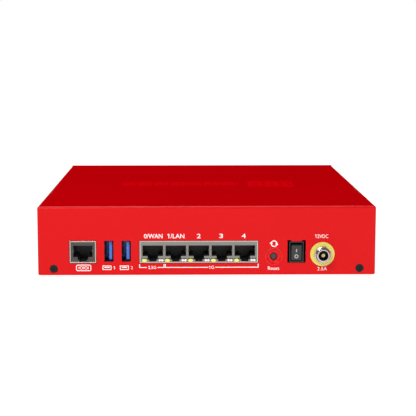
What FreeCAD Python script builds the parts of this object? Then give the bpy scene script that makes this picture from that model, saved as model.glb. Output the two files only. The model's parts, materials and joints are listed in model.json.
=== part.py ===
"""Desktop firewall appliance: a folded steel case, its main board and the connectors on its rear panel.

Frame: +Z up, origin on the table under the middle of the whole appliance, power inlet included. The
connector panel is the rear and faces -Y; the status fascia is the front and faces +Y; +X is on the
right of someone facing the panel. Lengths are in millimetres.
"""

import FreeCAD
import Part
import Sketcher

import math
import os
import re

# ---------------------------------------------------------------------------------------------------
# Driving dimensions: alias, value, meaning
# ---------------------------------------------------------------------------------------------------
SIZES = [
    # case
    ("case_width", 205.0, "outer width of the case"),
    ("case_depth", 205.0, "outer depth of the case, panel face to front face"),
    ("case_height", 42.0, "outer height of the case, without its feet"),
    ("sheet_thickness", 1.0, "steel sheet of the cover and the tray"),
    ("bend_radius", 1.4, "outer radius of the folded edges"),
    ("seam_gap", 0.3, "clearance between the cover and the tray"),
    ("fit_gap", 0.2, "clearance of a panel opening round a connector"),
    ("jack_gap", 0.3, "clearance of a panel opening round a network jack"),
    ("side_flange", 13.0, "height of the tray's side flanges"),
    ("lip_height", 4.5, "height of the tray's rear lip"),
    ("tab_height", 8.0, "height of the tabs at the ends of that lip, which take the rear screws"),
    ("tab_reach", 7.0, "rear screw from the inner edge of its tab"),
    ("corner_relief", 0.7, "cut across the lower corners of the connector panel"),
    ("facet_start", 53.0, "where the facet on the cover's top edge starts, from the panel"),
    ("facet_length", 112.0, "length of that facet"),
    ("facet_width", 2.4, "width of that facet at its wide end"),
    ("facet_drop", 0.35, "depth of that facet at the edge of the cover"),
    ("facet_end", 0.05, "what is left of the facet's section where it fades out, as a share"),
    ("rim_rounding", 0.8, "rounding of the front wall's outer rim"),
    ("vent_count", 13, "cooling slots in each side wall"),
    ("vent_pitch", 6.5, "spacing of the cooling slots"),
    ("vent_length", 12.0, "straight length of a side slot"),
    ("vent_radius", 1.2, "half the width of a slot"),
    ("floor_vent_length", 26.0, "straight length of a slot in the tray's floor"),
    # feet
    ("foot_height", 2.0, "height of a rubber foot"),
    ("foot_radius", 6.0, "radius of a rubber foot"),
    ("foot_inset", 17.0, "centre of a foot from the case's sides"),
    ("foot_edge", 0.6, "rounding of a foot's lower edge"),
    # rear screws
    ("rear_screw_inset", 9.6, "rear screw from the side of the case"),
    ("rear_screw_rise", 3.8, "rear screw above the bottom of the case"),
    ("rear_screw_length", 4.0, "length of a rear screw"),
    ("screw_head", 2.55, "radius of the rear screw's flat head"),
    ("screw_sink", 0.35, "rear screw's head behind the panel's outer face"),
    ("countersink", 3.0, "radius of the countersink at the panel's outer face"),
    ("screw_head_height", 0.85, "height of that head"),
    ("screw_radius", 1.5, "radius of an M3 thread"),
    ("thread_gap", 0.05, "clearance round a thread"),
    ("recess_width", 0.7, "width of a cross recess"),
    ("recess_span", 2.6, "length of a cross recess"),
    ("recess_depth", 0.6, "depth of a cross recess"),
    # main board
    ("standoff_height", 4.8, "board above the tray's floor"),
    ("standoff_flats", 5.5, "width across the flats of a standoff"),
    ("board_thickness", 1.6, "main board"),
    ("board_rear_gap", 4.5, "board edge behind the panel's outer face"),
    ("board_front_gap", 8.0, "board edge from the front face"),
    ("board_side_gap", 6.0, "board edge from the case's side"),
    ("board_screw_inset", 5.0, "board screw from the board's edges"),
    ("board_screw_length", 4.0, "board screw under its head"),
    ("board_screw_head", 2.75, "radius of a board screw's head"),
    ("board_head_height", 1.8, "height of that head"),
    ("insulator_thickness", 0.3, "insulating sheet on the tray's floor"),
    # network jacks
    ("console_x", -75.2, "console jack from the middle of the case"),
    ("ports_x", -4.9, "middle of the row of network ports"),
    ("port_count", 5, "network ports in the row"),
    ("port_pitch", 13.97, "spacing of the network ports"),
    ("jack_width", 15.9, "width of a single network jack"),
    ("jack_height", 13.4, "height of a network jack"),
    ("jack_depth", 21.0, "depth of a network jack"),
    ("jack_wall", 0.3, "metal of a jack's shield"),
    ("jack_setback", 0.3, "shield's rim behind the panel's outer face"),
    ("rim_width", 0.55, "raised rim round a shield's face"),
    ("rim_depth", 0.35, "face behind that rim"),
    ("console_mouth", 11.7, "width of the console jack's mouth"),
    ("port_mouth", 12.5, "width of a network port's mouth"),
    ("mouth_top", 10.6, "top of a mouth above the board"),
    ("console_shoulder", 3.6, "shoulder of the console jack's mouth above the board"),
    ("port_shoulder", 4.1, "shoulder of a network port's mouth above the board"),
    ("latch_width", 6.4, "width of the latch step"),
    ("latch_floor", 1.9, "latch step above the board"),
    ("tab_width", 4.4, "width of the latch tab's slot"),
    ("tab_floor", 0.7, "that slot's floor above the board"),
    ("mouth_depth", 14.0, "depth of a mouth"),
    ("pin_count", 8, "contact wires in a jack"),
    ("pin_pitch", 1.02, "spacing of the contact wires"),
    ("pin_width", 0.36, "width of a contact wire"),
    ("pin_reach", 8.0, "length of a contact wire along the mouth"),
    ("pin_slope", 6.0, "sloping part of that length"),
    ("pin_drop", 1.9, "how far a contact wire hangs into the mouth"),
    ("lamp_offset", 5.0, "port lamp from the middle of its port"),
    ("lamp_width", 3.2, "width of a port lamp"),
    ("lamp_height", 2.0, "height of a port lamp"),
    ("lamp_rise", 0.65, "port lamp above the board"),
    ("lamp_proud", 0.25, "lamp in front of the shield's face"),
    # data sockets beside the console jack
    ("usb_x", -59.4, "first data socket from the middle of the case"),
    ("usb_count", 2, "data sockets"),
    ("usb_pitch", 10.5, "spacing of the data sockets"),
    ("usb_width", 5.9, "width of a data socket, which stands upright"),
    ("usb_height", 13.2, "height of a data socket"),
    ("usb_depth", 14.5, "depth of a data socket"),
    ("usb_wall", 0.3, "metal of a data socket"),
    ("usb_rise", 0.6, "data socket above the board"),
    ("usb_gap", 0.15, "data socket behind the panel's inner face"),
    ("usb_stake", 1.5, "length of the stakes under a data socket"),
    ("tongue_thickness", 1.84, "tongue of a data socket"),
    ("tongue_height", 11.1, "height of the tongue"),
    ("tongue_length", 9.0, "length of the tongue"),
    ("tongue_offset", 1.0, "tongue from the middle of the socket"),
    ("tongue_setback", 1.5, "tongue behind the socket's mouth"),
    ("tongue_pads", 4, "contacts on a tongue"),
    ("pad_width", 1.0, "width of a tongue contact"),
    ("pad_plating", 0.1, "height of a tongue contact above its tongue"),
    ("pad_inset", 1.0, "tongue contact from the ends of its tongue"),
    # reset button
    ("reset_x", 40.6, "reset button from the middle of the case"),
    ("reset_rise", 3.7, "reset button above the board"),
    ("reset_hole", 2.25, "radius of the hole round the reset button"),
    ("dish_radius", 4.9, "outer radius of the pressed dish round it"),
    ("dish_floor", 3.1, "radius of the dish's flat floor"),
    ("dish_depth", 1.0, "depth of the dish"),
    ("button_radius", 1.85, "radius of the reset button's stem"),
    ("button_collar", 2.6, "radius of the collar that keeps it in"),
    ("button_travel", 0.3, "travel of the reset button"),
    ("button_inset", 0.2, "button behind the floor of the dish"),
    ("slide_gap", 0.05, "clearance of a sliding or turning fit"),
    ("reset_body_gap", 6.0, "reset switch behind the panel's outer face"),
    ("reset_body_width", 7.4, "width of the reset switch"),
    ("reset_body_depth", 6.0, "depth of the reset switch"),
    ("reset_front_wall", 1.4, "front wall of the reset switch"),
    ("collar_length", 1.0, "length of the button's collar"),
    ("dome_thickness", 0.2, "snap dome behind the button"),
    # power switch
    ("switch_x", 54.4, "power switch from the middle of the case"),
    ("switch_width", 8.8, "width of the power switch"),
    ("switch_height", 12.9, "height of the power switch"),
    ("switch_depth", 13.0, "depth of the power switch"),
    ("switch_setback", 0.25, "switch behind the panel's outer face"),
    ("switch_side_gap", 1.15, "opening in the panel beside the switch"),
    ("switch_notch", 0.7, "corner notches in that opening, above the switch"),
    ("window_width", 6.9, "opening in the switch's face"),
    ("window_height", 10.8, "height of that opening"),
    ("window_depth", 7.5, "depth of the rocker's well"),
    ("rocker_width", 6.1, "width of the rocker"),
    ("rocker_half", 4.75, "half the height of the rocker's face"),
    ("rocker_reach", 2.8, "ends of the rocker's face in front of its pivot"),
    ("rocker_valley", 2.3, "middle of the rocker's face in front of its pivot"),
    ("rocker_belly", 4.95, "widest half-height of the rocker"),
    ("rocker_shoulder", 1.2, "that widest part in front of the pivot"),
    ("rocker_heel", 3.0, "half the height of the rocker's back"),
    ("rocker_back", 1.6, "back of the rocker behind its pivot"),
    ("rocker_swing", 9.0, "turn of the rocker to each side, in degrees"),
    ("pivot_depth", 2.4, "rocker's pivot behind the switch's face"),
    ("pivot_radius", 0.9, "radius of the rocker's trunnions"),
    ("pivot_length", 0.6, "length of a trunnion inside the housing"),
    ("bevel", 0.4, "bevel of the switch's opening and of the inlet's mouth"),
    ("terminal_offset", 2.2, "switch terminal from the middle of the switch"),
    ("terminal_width", 0.8, "width of a terminal"),
    ("terminal_thickness", 0.6, "thickness of a terminal"),
    ("terminal_reach", 2.6, "switch terminal behind the switch"),
    # power inlet
    ("inlet_x", 70.1, "power inlet from the middle of the case"),
    ("inlet_rise", 5.25, "power inlet above the board"),
    ("barrel_radius", 4.0, "radius of the inlet's threaded barrel"),
    ("barrel_bore", 3.4, "radius of the hole in the barrel"),
    ("barrel_proud", 5.8, "barrel in front of the panel's outer face"),
    ("barrel_flange", 5.2, "radius of the barrel's flange behind the panel"),
    ("flange_thickness", 1.2, "thickness of that flange"),
    ("liner_bore", 2.95, "radius of the hole in the plastic liner"),
    ("liner_setback", 0.5, "liner behind the barrel's mouth"),
    ("contact_radius", 1.25, "radius of the centre contact"),
    ("contact_setback", 1.0, "centre contact behind the barrel's mouth"),
    ("contact_tail", 0.9, "radius of the contact's tail inside the inlet's body"),
    ("nut_wall", 0.75, "metal of the inlet's nut between its thread and its flats"),
    ("nut_thickness", 2.6, "thickness of the nut"),
    ("nut_turn", 15.0, "turn at which the nut is tightened, in degrees"),
    ("washer_radius", 7.4, "radius of the coloured washer"),
    ("washer_thickness", 1.0, "thickness of the washer"),
    ("washer_step", 0.25, "step down to the washer's outer band"),
    ("washer_band", 1.8, "width of that outer band"),
    ("inlet_width", 10.8, "width of the inlet's body"),
    ("inlet_depth", 11.0, "depth of the inlet's body"),
    # front fascia and its light guide
    ("fascia_width", 122.0, "width of the dark fascia"),
    ("fascia_height", 13.0, "height of the fascia"),
    ("fascia_rise", 15.0, "middle of the fascia above the bottom of the case"),
    ("fascia_proud", 0.3, "fascia in front of the front wall"),
    ("fascia_lip", 2.0, "lip of the fascia behind the wall"),
    ("fascia_lip_thickness", 1.0, "thickness of that lip"),
    ("light_count", 9, "status lights"),
    ("light_pitch", 11.5, "spacing of the status lights"),
    ("light_width", 3.0, "width of a status light"),
    ("light_height", 1.6, "height of a status light"),
    ("led_height", 0.7, "height of a light emitter on the board"),
    ("led_length", 1.4, "width of a light emitter"),
    ("led_inset", 2.5, "light emitter from the board's front edge"),
    # processor and its cooling
    ("chip_size", 27.0, "processor package"),
    ("chip_height", 2.0, "height of the processor"),
    ("pad_thickness", 0.5, "thermal pad"),
    ("sink_size", 62.0, "heat sink's base"),
    ("sink_base", 3.0, "thickness of that base"),
    ("sink_height", 18.0, "height of the heat sink"),
    ("fin_count", 13, "fins"),
    ("fin_thickness", 1.2, "thickness of a fin"),
    ("sink_x", 8.0, "heat sink from the middle of the case"),
    ("sink_pin_inset", 4.0, "heat sink pin from the base's corner"),
    ("sink_pin_radius", 1.6, "radius of a heat sink pin"),
    ("sink_pin_head", 3.0, "radius of that pin's head"),
    ("pin_head_height", 1.5, "height of that head"),
    # other parts on the board
    ("transformer_gap", 5.0, "network transformer behind its port"),
    ("transformer_width", 12.4, "width of a network transformer"),
    ("transformer_depth", 9.2, "depth of a network transformer"),
    ("transformer_height", 4.6, "height of a network transformer"),
    ("package_gap", 4.0, "space between a chip and what is beside it"),
    ("package_height", 1.0, "height of the smaller chips"),
    ("switch_chip_size", 14.0, "chip that joins the network ports"),
    ("fast_chip_size", 9.0, "chip of the faster network port"),
    ("storage_width", 13.0, "width of the storage chip"),
    ("storage_depth", 11.5, "depth of the storage chip"),
    ("memory_count", 4, "memory chips"),
    ("memory_pitch", 14.5, "spacing of the memory chips"),
    ("memory_width", 9.0, "width of a memory chip"),
    ("memory_depth", 12.0, "depth of a memory chip"),
    ("power_gap", 8.0, "power inductors behind the inlet's body"),
    ("power_count", 3, "power inductors, each with a capacitor behind it"),
    ("power_pitch", 10.5, "spacing of the power inductors"),
    ("coil_size", 7.0, "width of a power inductor"),
    ("coil_height", 4.0, "height of a power inductor"),
    ("capacitor_gap", 3.0, "capacitor behind its inductor"),
    ("capacitor_radius", 4.0, "radius of an electrolytic capacitor"),
    ("capacitor_height", 11.0, "height of an electrolytic capacitor"),
    ("cell_inset", 28.0, "clock's coin cell from the board's front and left edges"),
    ("cell_radius", 10.0, "radius of the coin cell"),
    ("cell_height", 3.2, "height of the coin cell"),
    ("holder_wall", 1.6, "wall of the coin cell's holder"),
    ("holder_floor", 1.2, "floor of the coin cell's holder"),
    ("holder_rim", 2.4, "holder's wall above its floor"),
]

# Positions that several pieces share, worked out from the driving dimensions
PLACES = {
    "rear": "(barrel_proud - fascia_proud - case_depth) / 2",
    "front": "rear + case_depth",
    "middle": "(rear + front) / 2",
    "floor": "foot_height",
    "roof": "foot_height + case_height",
    "tray_top": "foot_height + sheet_thickness",
    "board_under": "tray_top + standoff_height",
    "board_top": "board_under + board_thickness",
    "board_rear": "rear + board_rear_gap",
    "board_front": "front - board_front_gap",
    "board_middle": "(board_rear + board_front) / 2",
    "board_half": "case_width / 2 - board_side_gap",
    "cover_end": "front - sheet_thickness - seam_gap",
    "tray_half": "case_width / 2 - sheet_thickness - seam_gap",
    "tray_rear": "rear + sheet_thickness + seam_gap",
    "rear_screw_x": "case_width / 2 - rear_screw_inset",
    "rear_screw_z": "floor + rear_screw_rise",
    "ports_width": "port_pitch * (port_count - 1) + jack_width",
    "port_first": "ports_x - port_pitch * (port_count - 1) / 2",
    "jack_rim": "rear + jack_setback",
    "jack_face": "jack_rim + rim_depth",
    "usb_face": "rear + sheet_thickness + usb_gap",
    "usb_z": "board_top + usb_rise + usb_height / 2",
    "reset_z": "board_top + reset_rise",
    "reset_body_rear": "rear + reset_body_gap",
    "chamber_rear": "reset_body_rear + reset_front_wall",
    "chamber_depth": "slide_gap + collar_length + button_travel + slide_gap + dome_thickness",
    "switch_face": "rear + switch_setback",
    "switch_z": "board_top + switch_height / 2",
    "inlet_z": "board_top + inlet_rise",
    "inlet_mouth": "rear - barrel_proud",
    "flange_face": "rear + sheet_thickness",
    "inlet_body_rear": "flange_face + flange_thickness",
    "nut_flats": "2 * (barrel_radius + nut_wall)",
    "fascia_z": "floor + fascia_rise",
    "light_first": "-light_pitch * (light_count - 1) / 2",
    "led_y": "board_front - led_inset",
    "sink_under": "board_top + chip_height + pad_thickness",
    "sink_top": "sink_under + sink_height",
    "sink_right": "sink_x + sink_size / 2",
}

SAME = 0.001
ALIASES = {alias for alias, _, _ in SIZES}
DOC = FreeCAD.newDocument("firewall_appliance")
SHEET = DOC.addObject("Spreadsheet::Sheet", "Sizes")
PIECES = []


def fill_sheet():
    """Writes the driving dimensions into the document's spreadsheet."""
    for row, (alias, number, meaning) in enumerate(SIZES, 1):
        SHEET.set(f"A{row}", alias)
        SHEET.set(f"B{row}", str(number))
        SHEET.set(f"C{row}", meaning)
        SHEET.setAlias(f"B{row}", alias)
    DOC.recompute()


def formula(text):
    """The expression that FreeCAD reads, with each alias and shared place in text spelled out."""

    def spell(match):
        word = match.group()
        if word in PLACES:
            return f"({formula(PLACES[word])})"
        return f"Sizes.{word}" if word in ALIASES else word

    return re.sub(r"[a-z][a-z_]*", spell, text)


def value(text):
    """The number that an expression gives."""
    return float(SHEET.evalExpression(formula(text)))


def bind(item, **settings):
    """Ties properties of item to expressions; a double underscore in a name stands for a dot."""
    for name, text in settings.items():
        item.setExpression(name.replace("__", "."), formula(text))
    return item


def piece(item, label):
    """Marks item as a sub-part that is written out under its label."""
    item.Label = label
    PIECES.append(item)
    return item


# ---------------------------------------------------------------------------------------------------
# Sketches and features
# ---------------------------------------------------------------------------------------------------
def new_body(label, loose=False):
    """A PartDesign body that is a sub-part; a loose one may hold several separate solids."""
    body = piece(DOC.addObject("PartDesign::Body", label), label)
    body.AllowCompound = loose
    return body


def new_sketch(body, plane, x="0", y="0", z="0"):
    """A sketch on one of the body's origin planes, with its own origin moved by x, y and z in it."""
    sketch = body.newObject("Sketcher::SketchObject", f"{body.Name}_sketch")
    support = [item for item in body.Origin.OriginFeatures if item.Role == f"{plane}_Plane"][0]
    sketch.AttachmentSupport = (support, [""])
    sketch.MapMode = "FlatFace"
    bind(sketch, AttachmentOffset__Base__x=x, AttachmentOffset__Base__y=y, AttachmentOffset__Base__z=z)
    return sketch


def pin_point(sketch, edge, end, x, y):
    """Fixes one end, or the centre, of a sketch edge at x, y from the sketch's origin."""
    for kind, text in (("DistanceX", x), ("DistanceY", y)):
        number = sketch.addConstraint(Sketcher.Constraint(kind, -1, 1, edge, end, value(text)))
        sketch.setExpression(f"Constraints[{number}]", formula(text))


def outline(sketch, points):
    """A closed outline of straight edges through points, each an x and a y expression."""
    corners = [FreeCAD.Vector(value(x), value(y), 0) for x, y in points]
    edges = []
    for start, end in zip(corners, corners[1:] + corners[:1]):
        edges.append(sketch.addGeometry(Part.LineSegment(start, end), False))
    for edge, following, point in zip(edges, edges[1:] + edges[:1], points):
        sketch.addConstraint(Sketcher.Constraint("Coincident", edge, 2, following, 1))
        pin_point(sketch, edge, 1, *point)
    return sketch


def rectangle(sketch, width, height, x="0", y="0"):
    """A rectangle centred on x, y."""
    left, right = f"{x} - ({width}) / 2", f"{x} + ({width}) / 2"
    low, high = f"{y} - ({height}) / 2", f"{y} + ({height}) / 2"
    return outline(sketch, [(left, low), (right, low), (right, high), (left, high)])


def circle(sketch, radius, x="0", y="0"):
    """A circle centred on x, y."""
    centre = FreeCAD.Vector(value(x), value(y), 0)
    upward = FreeCAD.Vector(0, 0, 1)
    edge = sketch.addGeometry(Part.Circle(centre, upward, value(radius)), False)
    number = sketch.addConstraint(Sketcher.Constraint("Radius", edge, value(radius)))
    sketch.setExpression(f"Constraints[{number}]", formula(radius))
    pin_point(sketch, edge, 3, x, y)
    return sketch


def hexagon(sketch, flats, turn):
    """A regular hexagon of that width across its flats, its first corner at turn degrees."""
    reach = f"({flats}) / cos(30) / 2"
    angles = [f"({turn} + {60 * n})" for n in range(6)]
    return outline(sketch, [(f"{reach} * cos{angle}", f"{reach} * sin{angle}") for angle in angles])


def slot(sketch, length, radius):
    """An upright slot with round ends, centred on the sketch's origin; length is its straight part."""
    half, r = value(length) / 2, value(radius)
    upward, vector = FreeCAD.Vector(0, 0, 1), FreeCAD.Vector
    top_circle = Part.Circle(vector(0, half, 0), upward, r)
    low_circle = Part.Circle(vector(0, -half, 0), upward, r)
    top = sketch.addGeometry(Part.ArcOfCircle(top_circle, 0, math.pi), False)
    low = sketch.addGeometry(Part.ArcOfCircle(low_circle, math.pi, 2 * math.pi), False)
    left = sketch.addGeometry(Part.LineSegment(vector(-r, half, 0), vector(-r, -half, 0)), False)
    right = sketch.addGeometry(Part.LineSegment(vector(r, -half, 0), vector(r, half, 0)), False)
    for first, second in ((top, left), (left, low), (low, right), (right, top)):
        sketch.addConstraint(Sketcher.Constraint("Tangent", first, 2, second, 1))
    number = sketch.addConstraint(Sketcher.Constraint("Radius", top, r))
    sketch.setExpression(f"Constraints[{number}]", formula(radius))
    pin_point(sketch, top, 3, "0", f"({length}) / 2")
    pin_point(sketch, low, 3, "0", f"-({length}) / 2")
    return sketch


def feature(body, kind, sketch, **settings):
    """A PartDesign feature made from a sketch."""
    made = body.newObject(f"PartDesign::{kind}", f"{body.Name}_{kind.lower()}")
    made.Profile = sketch
    bind(made, **settings)
    DOC.recompute()
    return made


def pad(body, sketch, length, away=False):
    """Pads a sketch by length; away from its plane's normal if asked."""
    made = feature(body, "Pad", sketch, Length=length)
    made.Reversed = away
    return made


def pocket(body, sketch, length, along=False):
    """Cuts a sketch to a depth, against its plane's normal, or along it if asked."""
    made = feature(body, "Pocket", sketch, Length=length)
    made.Reversed = along
    return made


def revolve(body, sketch, kind="Revolution"):
    """Turns a sketch a whole turn about its own horizontal axis; kind Groove cuts."""
    made = feature(body, kind, sketch)
    made.ReferenceAxis = (sketch, ["H_Axis"])
    return made


def pattern_step(body, sketch, count, pitch, axis):
    """A linear pattern along a sketch's axis, with the features it repeats still to be named."""
    made = body.newObject("PartDesign::LinearPattern", f"{body.Name}_row")
    made.Direction = (sketch, [axis])
    return bind(made, Length=f"({pitch}) * ({count} - 1)", Occurrences=count)


def repeat(body, originals, sketch, count, pitch, axis="H_Axis"):
    """Repeats features in a row along a sketch's axis."""
    made = pattern_step(body, sketch, count, pitch, axis)
    made.Originals = originals
    body.Tip = made
    return made


def mirror(body, originals):
    """Mirrors features from one side of the case to the other."""
    made = body.newObject("PartDesign::Mirrored", f"{body.Name}_mirror")
    made.Originals = originals
    plane = [item for item in body.Origin.OriginFeatures if item.Role == "YZ_Plane"][0]
    made.MirrorPlane = (plane, [""])
    body.Tip = made
    return made


def dress(body, kind, base, edges, **settings):
    """A fillet or chamfer on those edges of a feature that pass the test."""
    DOC.recompute()
    names = [f"Edge{n}" for n, edge in enumerate(base.Shape.Edges, 1) if edges(edge)]
    made = body.newObject(f"PartDesign::{kind}", f"{body.Name}_{kind.lower()}")
    made.Base = (base, names)
    bind(made, **settings)
    DOC.recompute()
    return made


def near(a, b):
    """Are two lengths the same, to a hair?"""
    return abs(a - b) < SAME


def flat_at(edge, axis, *places):
    """Does a straight edge lie wholly at one of these places along an axis (0, 1 or 2)?"""
    ends = [vertex.Point[axis] for vertex in edge.Vertexes]
    return len(ends) == 2 and any(all(near(end, place) for end in ends) for place in places)


# ---------------------------------------------------------------------------------------------------
# Simple solids
# ---------------------------------------------------------------------------------------------------
def block(name, width, depth, height, x="0", y="0", z="0"):
    """A box whose width is centred on x, whose rear face is at y and whose base is at z."""
    made = DOC.addObject("Part::Box", name)
    return bind(made, Length=width, Width=depth, Height=height, Placement__Base__x=f"{x} - ({width}) / 2",
                Placement__Base__y=y, Placement__Base__z=z)


def upright(name, radius, height, x="0", y="0", z="0"):
    """A cylinder standing on z."""
    made = DOC.addObject("Part::Cylinder", name)
    return bind(made, Radius=radius, Height=height, Placement__Base__x=x, Placement__Base__y=y,
                Placement__Base__z=z)


def cut(name, base, tool):
    """base with tool taken out of it."""
    made = DOC.addObject("Part::Cut", name)
    made.Base, made.Tool = base, tool
    return made


def fuse(name, *shapes):
    """Several touching solids as one."""
    made = DOC.addObject("Part::MultiFuse", name)
    made.Shapes = list(shapes)
    return made


def group(label, shapes):
    """Identical separate solids that share one node."""
    made = DOC.addObject("Part::Compound", label)
    made.Links = list(shapes)
    return piece(made, label)


# ---------------------------------------------------------------------------------------------------
# Case
# ---------------------------------------------------------------------------------------------------
def cover_shell():
    """The folded cover: top, two sides and the rear connector panel, open below and in front."""
    body = new_body("cover_shell")
    length = "cover_end - rear"
    plan = rectangle(new_sketch(body, "XY", y="(cover_end + rear) / 2", z="floor"), "case_width", length)
    shell = pad(body, plan, "case_height")
    half, rear, roof = value("case_width / 2"), value("rear"), value("roof")

    def folded(edge):
        upright_corner = flat_at(edge, 0, half, -half) and flat_at(edge, 1, rear)
        roof_edge = flat_at(edge, 2, roof) and (flat_at(edge, 0, half, -half) or flat_at(edge, 1, rear))
        return upright_corner or roof_edge

    dress(body, "Fillet", shell, folded, Radius="bend_radius")
    inside = new_sketch(body, "XY", y="sheet_thickness + (cover_end + rear) / 2", z="floor")
    rectangle(inside, "case_width - 2 * sheet_thickness", length)
    pocket(body, inside, "case_height - sheet_thickness", along=True)
    edge_facets(body)
    corner = new_sketch(body, "XZ", x="case_width / 2", y="floor", z="-rear")
    outline(corner, [("0", "0"), ("0", "corner_relief"), ("-corner_relief", "0")])
    mirror(body, [pocket(body, corner, "bend_radius + sheet_thickness")])
    panel_openings(body)
    reset_dish(body)
    rear_screw_holes(body)
    side = slot(new_sketch(body, "YZ", x="middle - vent_pitch * (vent_count - 1) / 2",
                           y="floor + (side_flange + case_height) / 2", z="case_width / 2"),
                "vent_length", "vent_radius")
    vent = pocket(body, side, "case_width")
    repeat(body, [vent], side, "vent_count", "vent_pitch")


def edge_facets(body):
    """A long shallow facet on each side edge of the cover's top, which fades out towards the front."""
    sections = []
    for along, share in (("facet_start", "1"), ("facet_start + facet_length", "facet_end")):
        section = new_sketch(body, "XZ", x="case_width / 2", y="roof", z=f"-rear - ({along})")
        outline(section, [(f"-facet_width * {share}", "0"), ("0", f"-facet_drop * {share}"),
                          ("facet_drop", "0"), ("0", "facet_drop")])
        sections.append(section)
    facet = feature(body, "SubtractiveLoft", sections[0])
    facet.Sections = sections[1:]
    mirror(body, [facet])


def panel_openings(body):
    """Openings in the connector panel, each its connector's size and a clearance."""
    depth = "sheet_thickness"

    def opening(x, z, width, height):
        face = new_sketch(body, "XZ", x=x, y=z, z="-rear")
        return face, pocket(body, rectangle(face, width, height), depth)

    jack_z = "board_top + jack_height / 2"
    opening("console_x", jack_z, "jack_width + 2 * jack_gap", "jack_height + 2 * jack_gap")
    opening("ports_x", jack_z, "ports_width + 2 * jack_gap", "jack_height + 2 * jack_gap")
    mouth = "2 * (usb_gap - usb_wall)"
    face, socket = opening("usb_x", "usb_z", f"usb_width + {mouth}", f"usb_height + {mouth}")
    repeat(body, [socket], face, "usb_count", "usb_pitch")
    inner, outer = "switch_width / 2 - switch_side_gap", "switch_width / 2 + switch_side_gap"
    low, high = "-switch_height / 2 - fit_gap", "switch_height / 2 + fit_gap"
    notch = "switch_height / 2 + fit_gap + switch_notch"
    switch = new_sketch(body, "XZ", x="switch_x", y="switch_z", z="-rear")
    outline(switch, [(f"-({outer})", low), (outer, low), (outer, notch), (inner, notch), (inner, high),
                     (f"-({inner})", high), (f"-({inner})", notch), (f"-({outer})", notch)])
    pocket(body, switch, depth)
    inlet = new_sketch(body, "XZ", x="inlet_x", y="inlet_z", z="-rear")
    pocket(body, circle(inlet, "barrel_radius + fit_gap"), depth)


def reset_dish(body):
    """The pressed dish round the reset button: its bulge inside, the dish outside, and the hole."""
    bulge = new_sketch(body, "YZ", x="rear", y="reset_z", z="reset_x")
    outline(bulge, [("sheet_thickness / 2", "0"), ("sheet_thickness / 2", "dish_radius"),
                    ("sheet_thickness", "dish_radius"),
                    ("sheet_thickness + dish_depth", "dish_floor + sheet_thickness / 2"),
                    ("sheet_thickness + dish_depth", "0")])
    revolve(body, bulge)
    dish = new_sketch(body, "YZ", x="rear", y="reset_z", z="reset_x")
    through = "dish_depth + 2 * sheet_thickness"
    outline(dish, [("0", "0"), ("0", "dish_radius"), ("dish_depth", "dish_floor"),
                   ("dish_depth", "reset_hole"), (through, "reset_hole"), (through, "0")])
    revolve(body, dish, "Groove")


def rear_screw_holes(body):
    """Two countersunk holes in the panel for the rear screws."""
    seat = new_sketch(body, "YZ", x="rear", y="rear_screw_z", z="rear_screw_x")
    end = "screw_sink + screw_head_height"
    outline(seat, [("0", "0"), ("0", "countersink"), ("screw_sink", "screw_head"),
                   (end, "screw_radius"), (end, "0")])
    mirror(body, [revolve(body, seat, "Groove")])


def base_tray():
    """The folded tray: floor, front wall, side flanges and the rear lip that the screws hold."""
    body = new_body("base_tray")
    width, depth = "2 * tray_half", "front - tray_rear"
    plan = rectangle(new_sketch(body, "XY", y="(front + tray_rear) / 2", z="floor"), width, depth)
    pad(body, plan, "sheet_thickness")
    side = new_sketch(body, "YZ", x="(front + tray_rear) / 2", y="floor + side_flange / 2", z="tray_half")
    flange = pad(body, rectangle(side, depth, "side_flange"), "sheet_thickness", away=True)
    mirror(body, [flange])
    lip = new_sketch(body, "XZ", y="floor", z="-tray_rear")
    tab_edge = "(rear_screw_x - tab_reach)"
    right = [("tray_half", "0"), ("tray_half", "tab_height"), (tab_edge, "tab_height"),
             (tab_edge, "lip_height")]
    outline(lip, right + [(f"-{x}", z) for x, z in reversed(right)])
    pad(body, lip, "sheet_thickness", away=True)
    wall = new_sketch(body, "XZ", y="floor + case_height / 2", z="-front")
    front_wall = pad(body, rectangle(wall, "case_width", "case_height"), "sheet_thickness")
    half, floor, roof, front = (value(text) for text in ("case_width / 2", "floor", "roof", "front"))

    def front_rim(edge):
        return flat_at(edge, 1, front) and (flat_at(edge, 0, half, -half) or flat_at(edge, 2, floor, roof))

    dress(body, "Fillet", front_wall, front_rim, Radius="rim_rounding")
    window = new_sketch(body, "XZ", y="fascia_z", z="-front")
    pocket(body, rectangle(window, "fascia_width", "fascia_height"), "sheet_thickness", along=True)
    thread = new_sketch(body, "XZ", x="rear_screw_x", y="rear_screw_z", z="-tray_rear")
    mirror(body, [pocket(body, circle(thread, "screw_radius + thread_gap"), "sheet_thickness")])
    vent = new_sketch(body, "XY", x="-vent_pitch * (vent_count - 1) / 2", y="middle", z="tray_top")
    opening = pocket(body, slot(vent, "floor_vent_length", "vent_radius"), "sheet_thickness")
    repeat(body, [opening], vent, "vent_count", "vent_pitch")


def rubber_feet():
    """Four stick-on feet, one in each corner."""
    for end, y in (("rear", "rear + foot_inset"), ("front", "front - foot_inset")):
        for side, x in (("left", "foot_inset - case_width / 2"), ("right", "case_width / 2 - foot_inset")):
            body = new_body(f"foot_{end}_{side}")
            disc = pad(body, circle(new_sketch(body, "XY", x=x, y=y), "foot_radius"), "foot_height")
            dress(body, "Fillet", disc, lambda edge: near(edge.BoundBox.ZMax, 0), Radius="foot_edge")


def cross_recess(body, plane, x, y, z):
    """A cross recess cut into a screw's head from the sketch's plane."""
    cross = new_sketch(body, plane, x=x, y=y, z=z)
    arm, reach = "recess_width / 2", "recess_span / 2"
    top_right = [(arm, reach), (arm, arm), (reach, arm)]
    right = top_right + [(across, f"-({up})") for across, up in reversed(top_right)]
    outline(cross, right + [(f"-({across})", up) for across, up in reversed(right)])
    return pocket(body, cross, "recess_depth")


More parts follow.
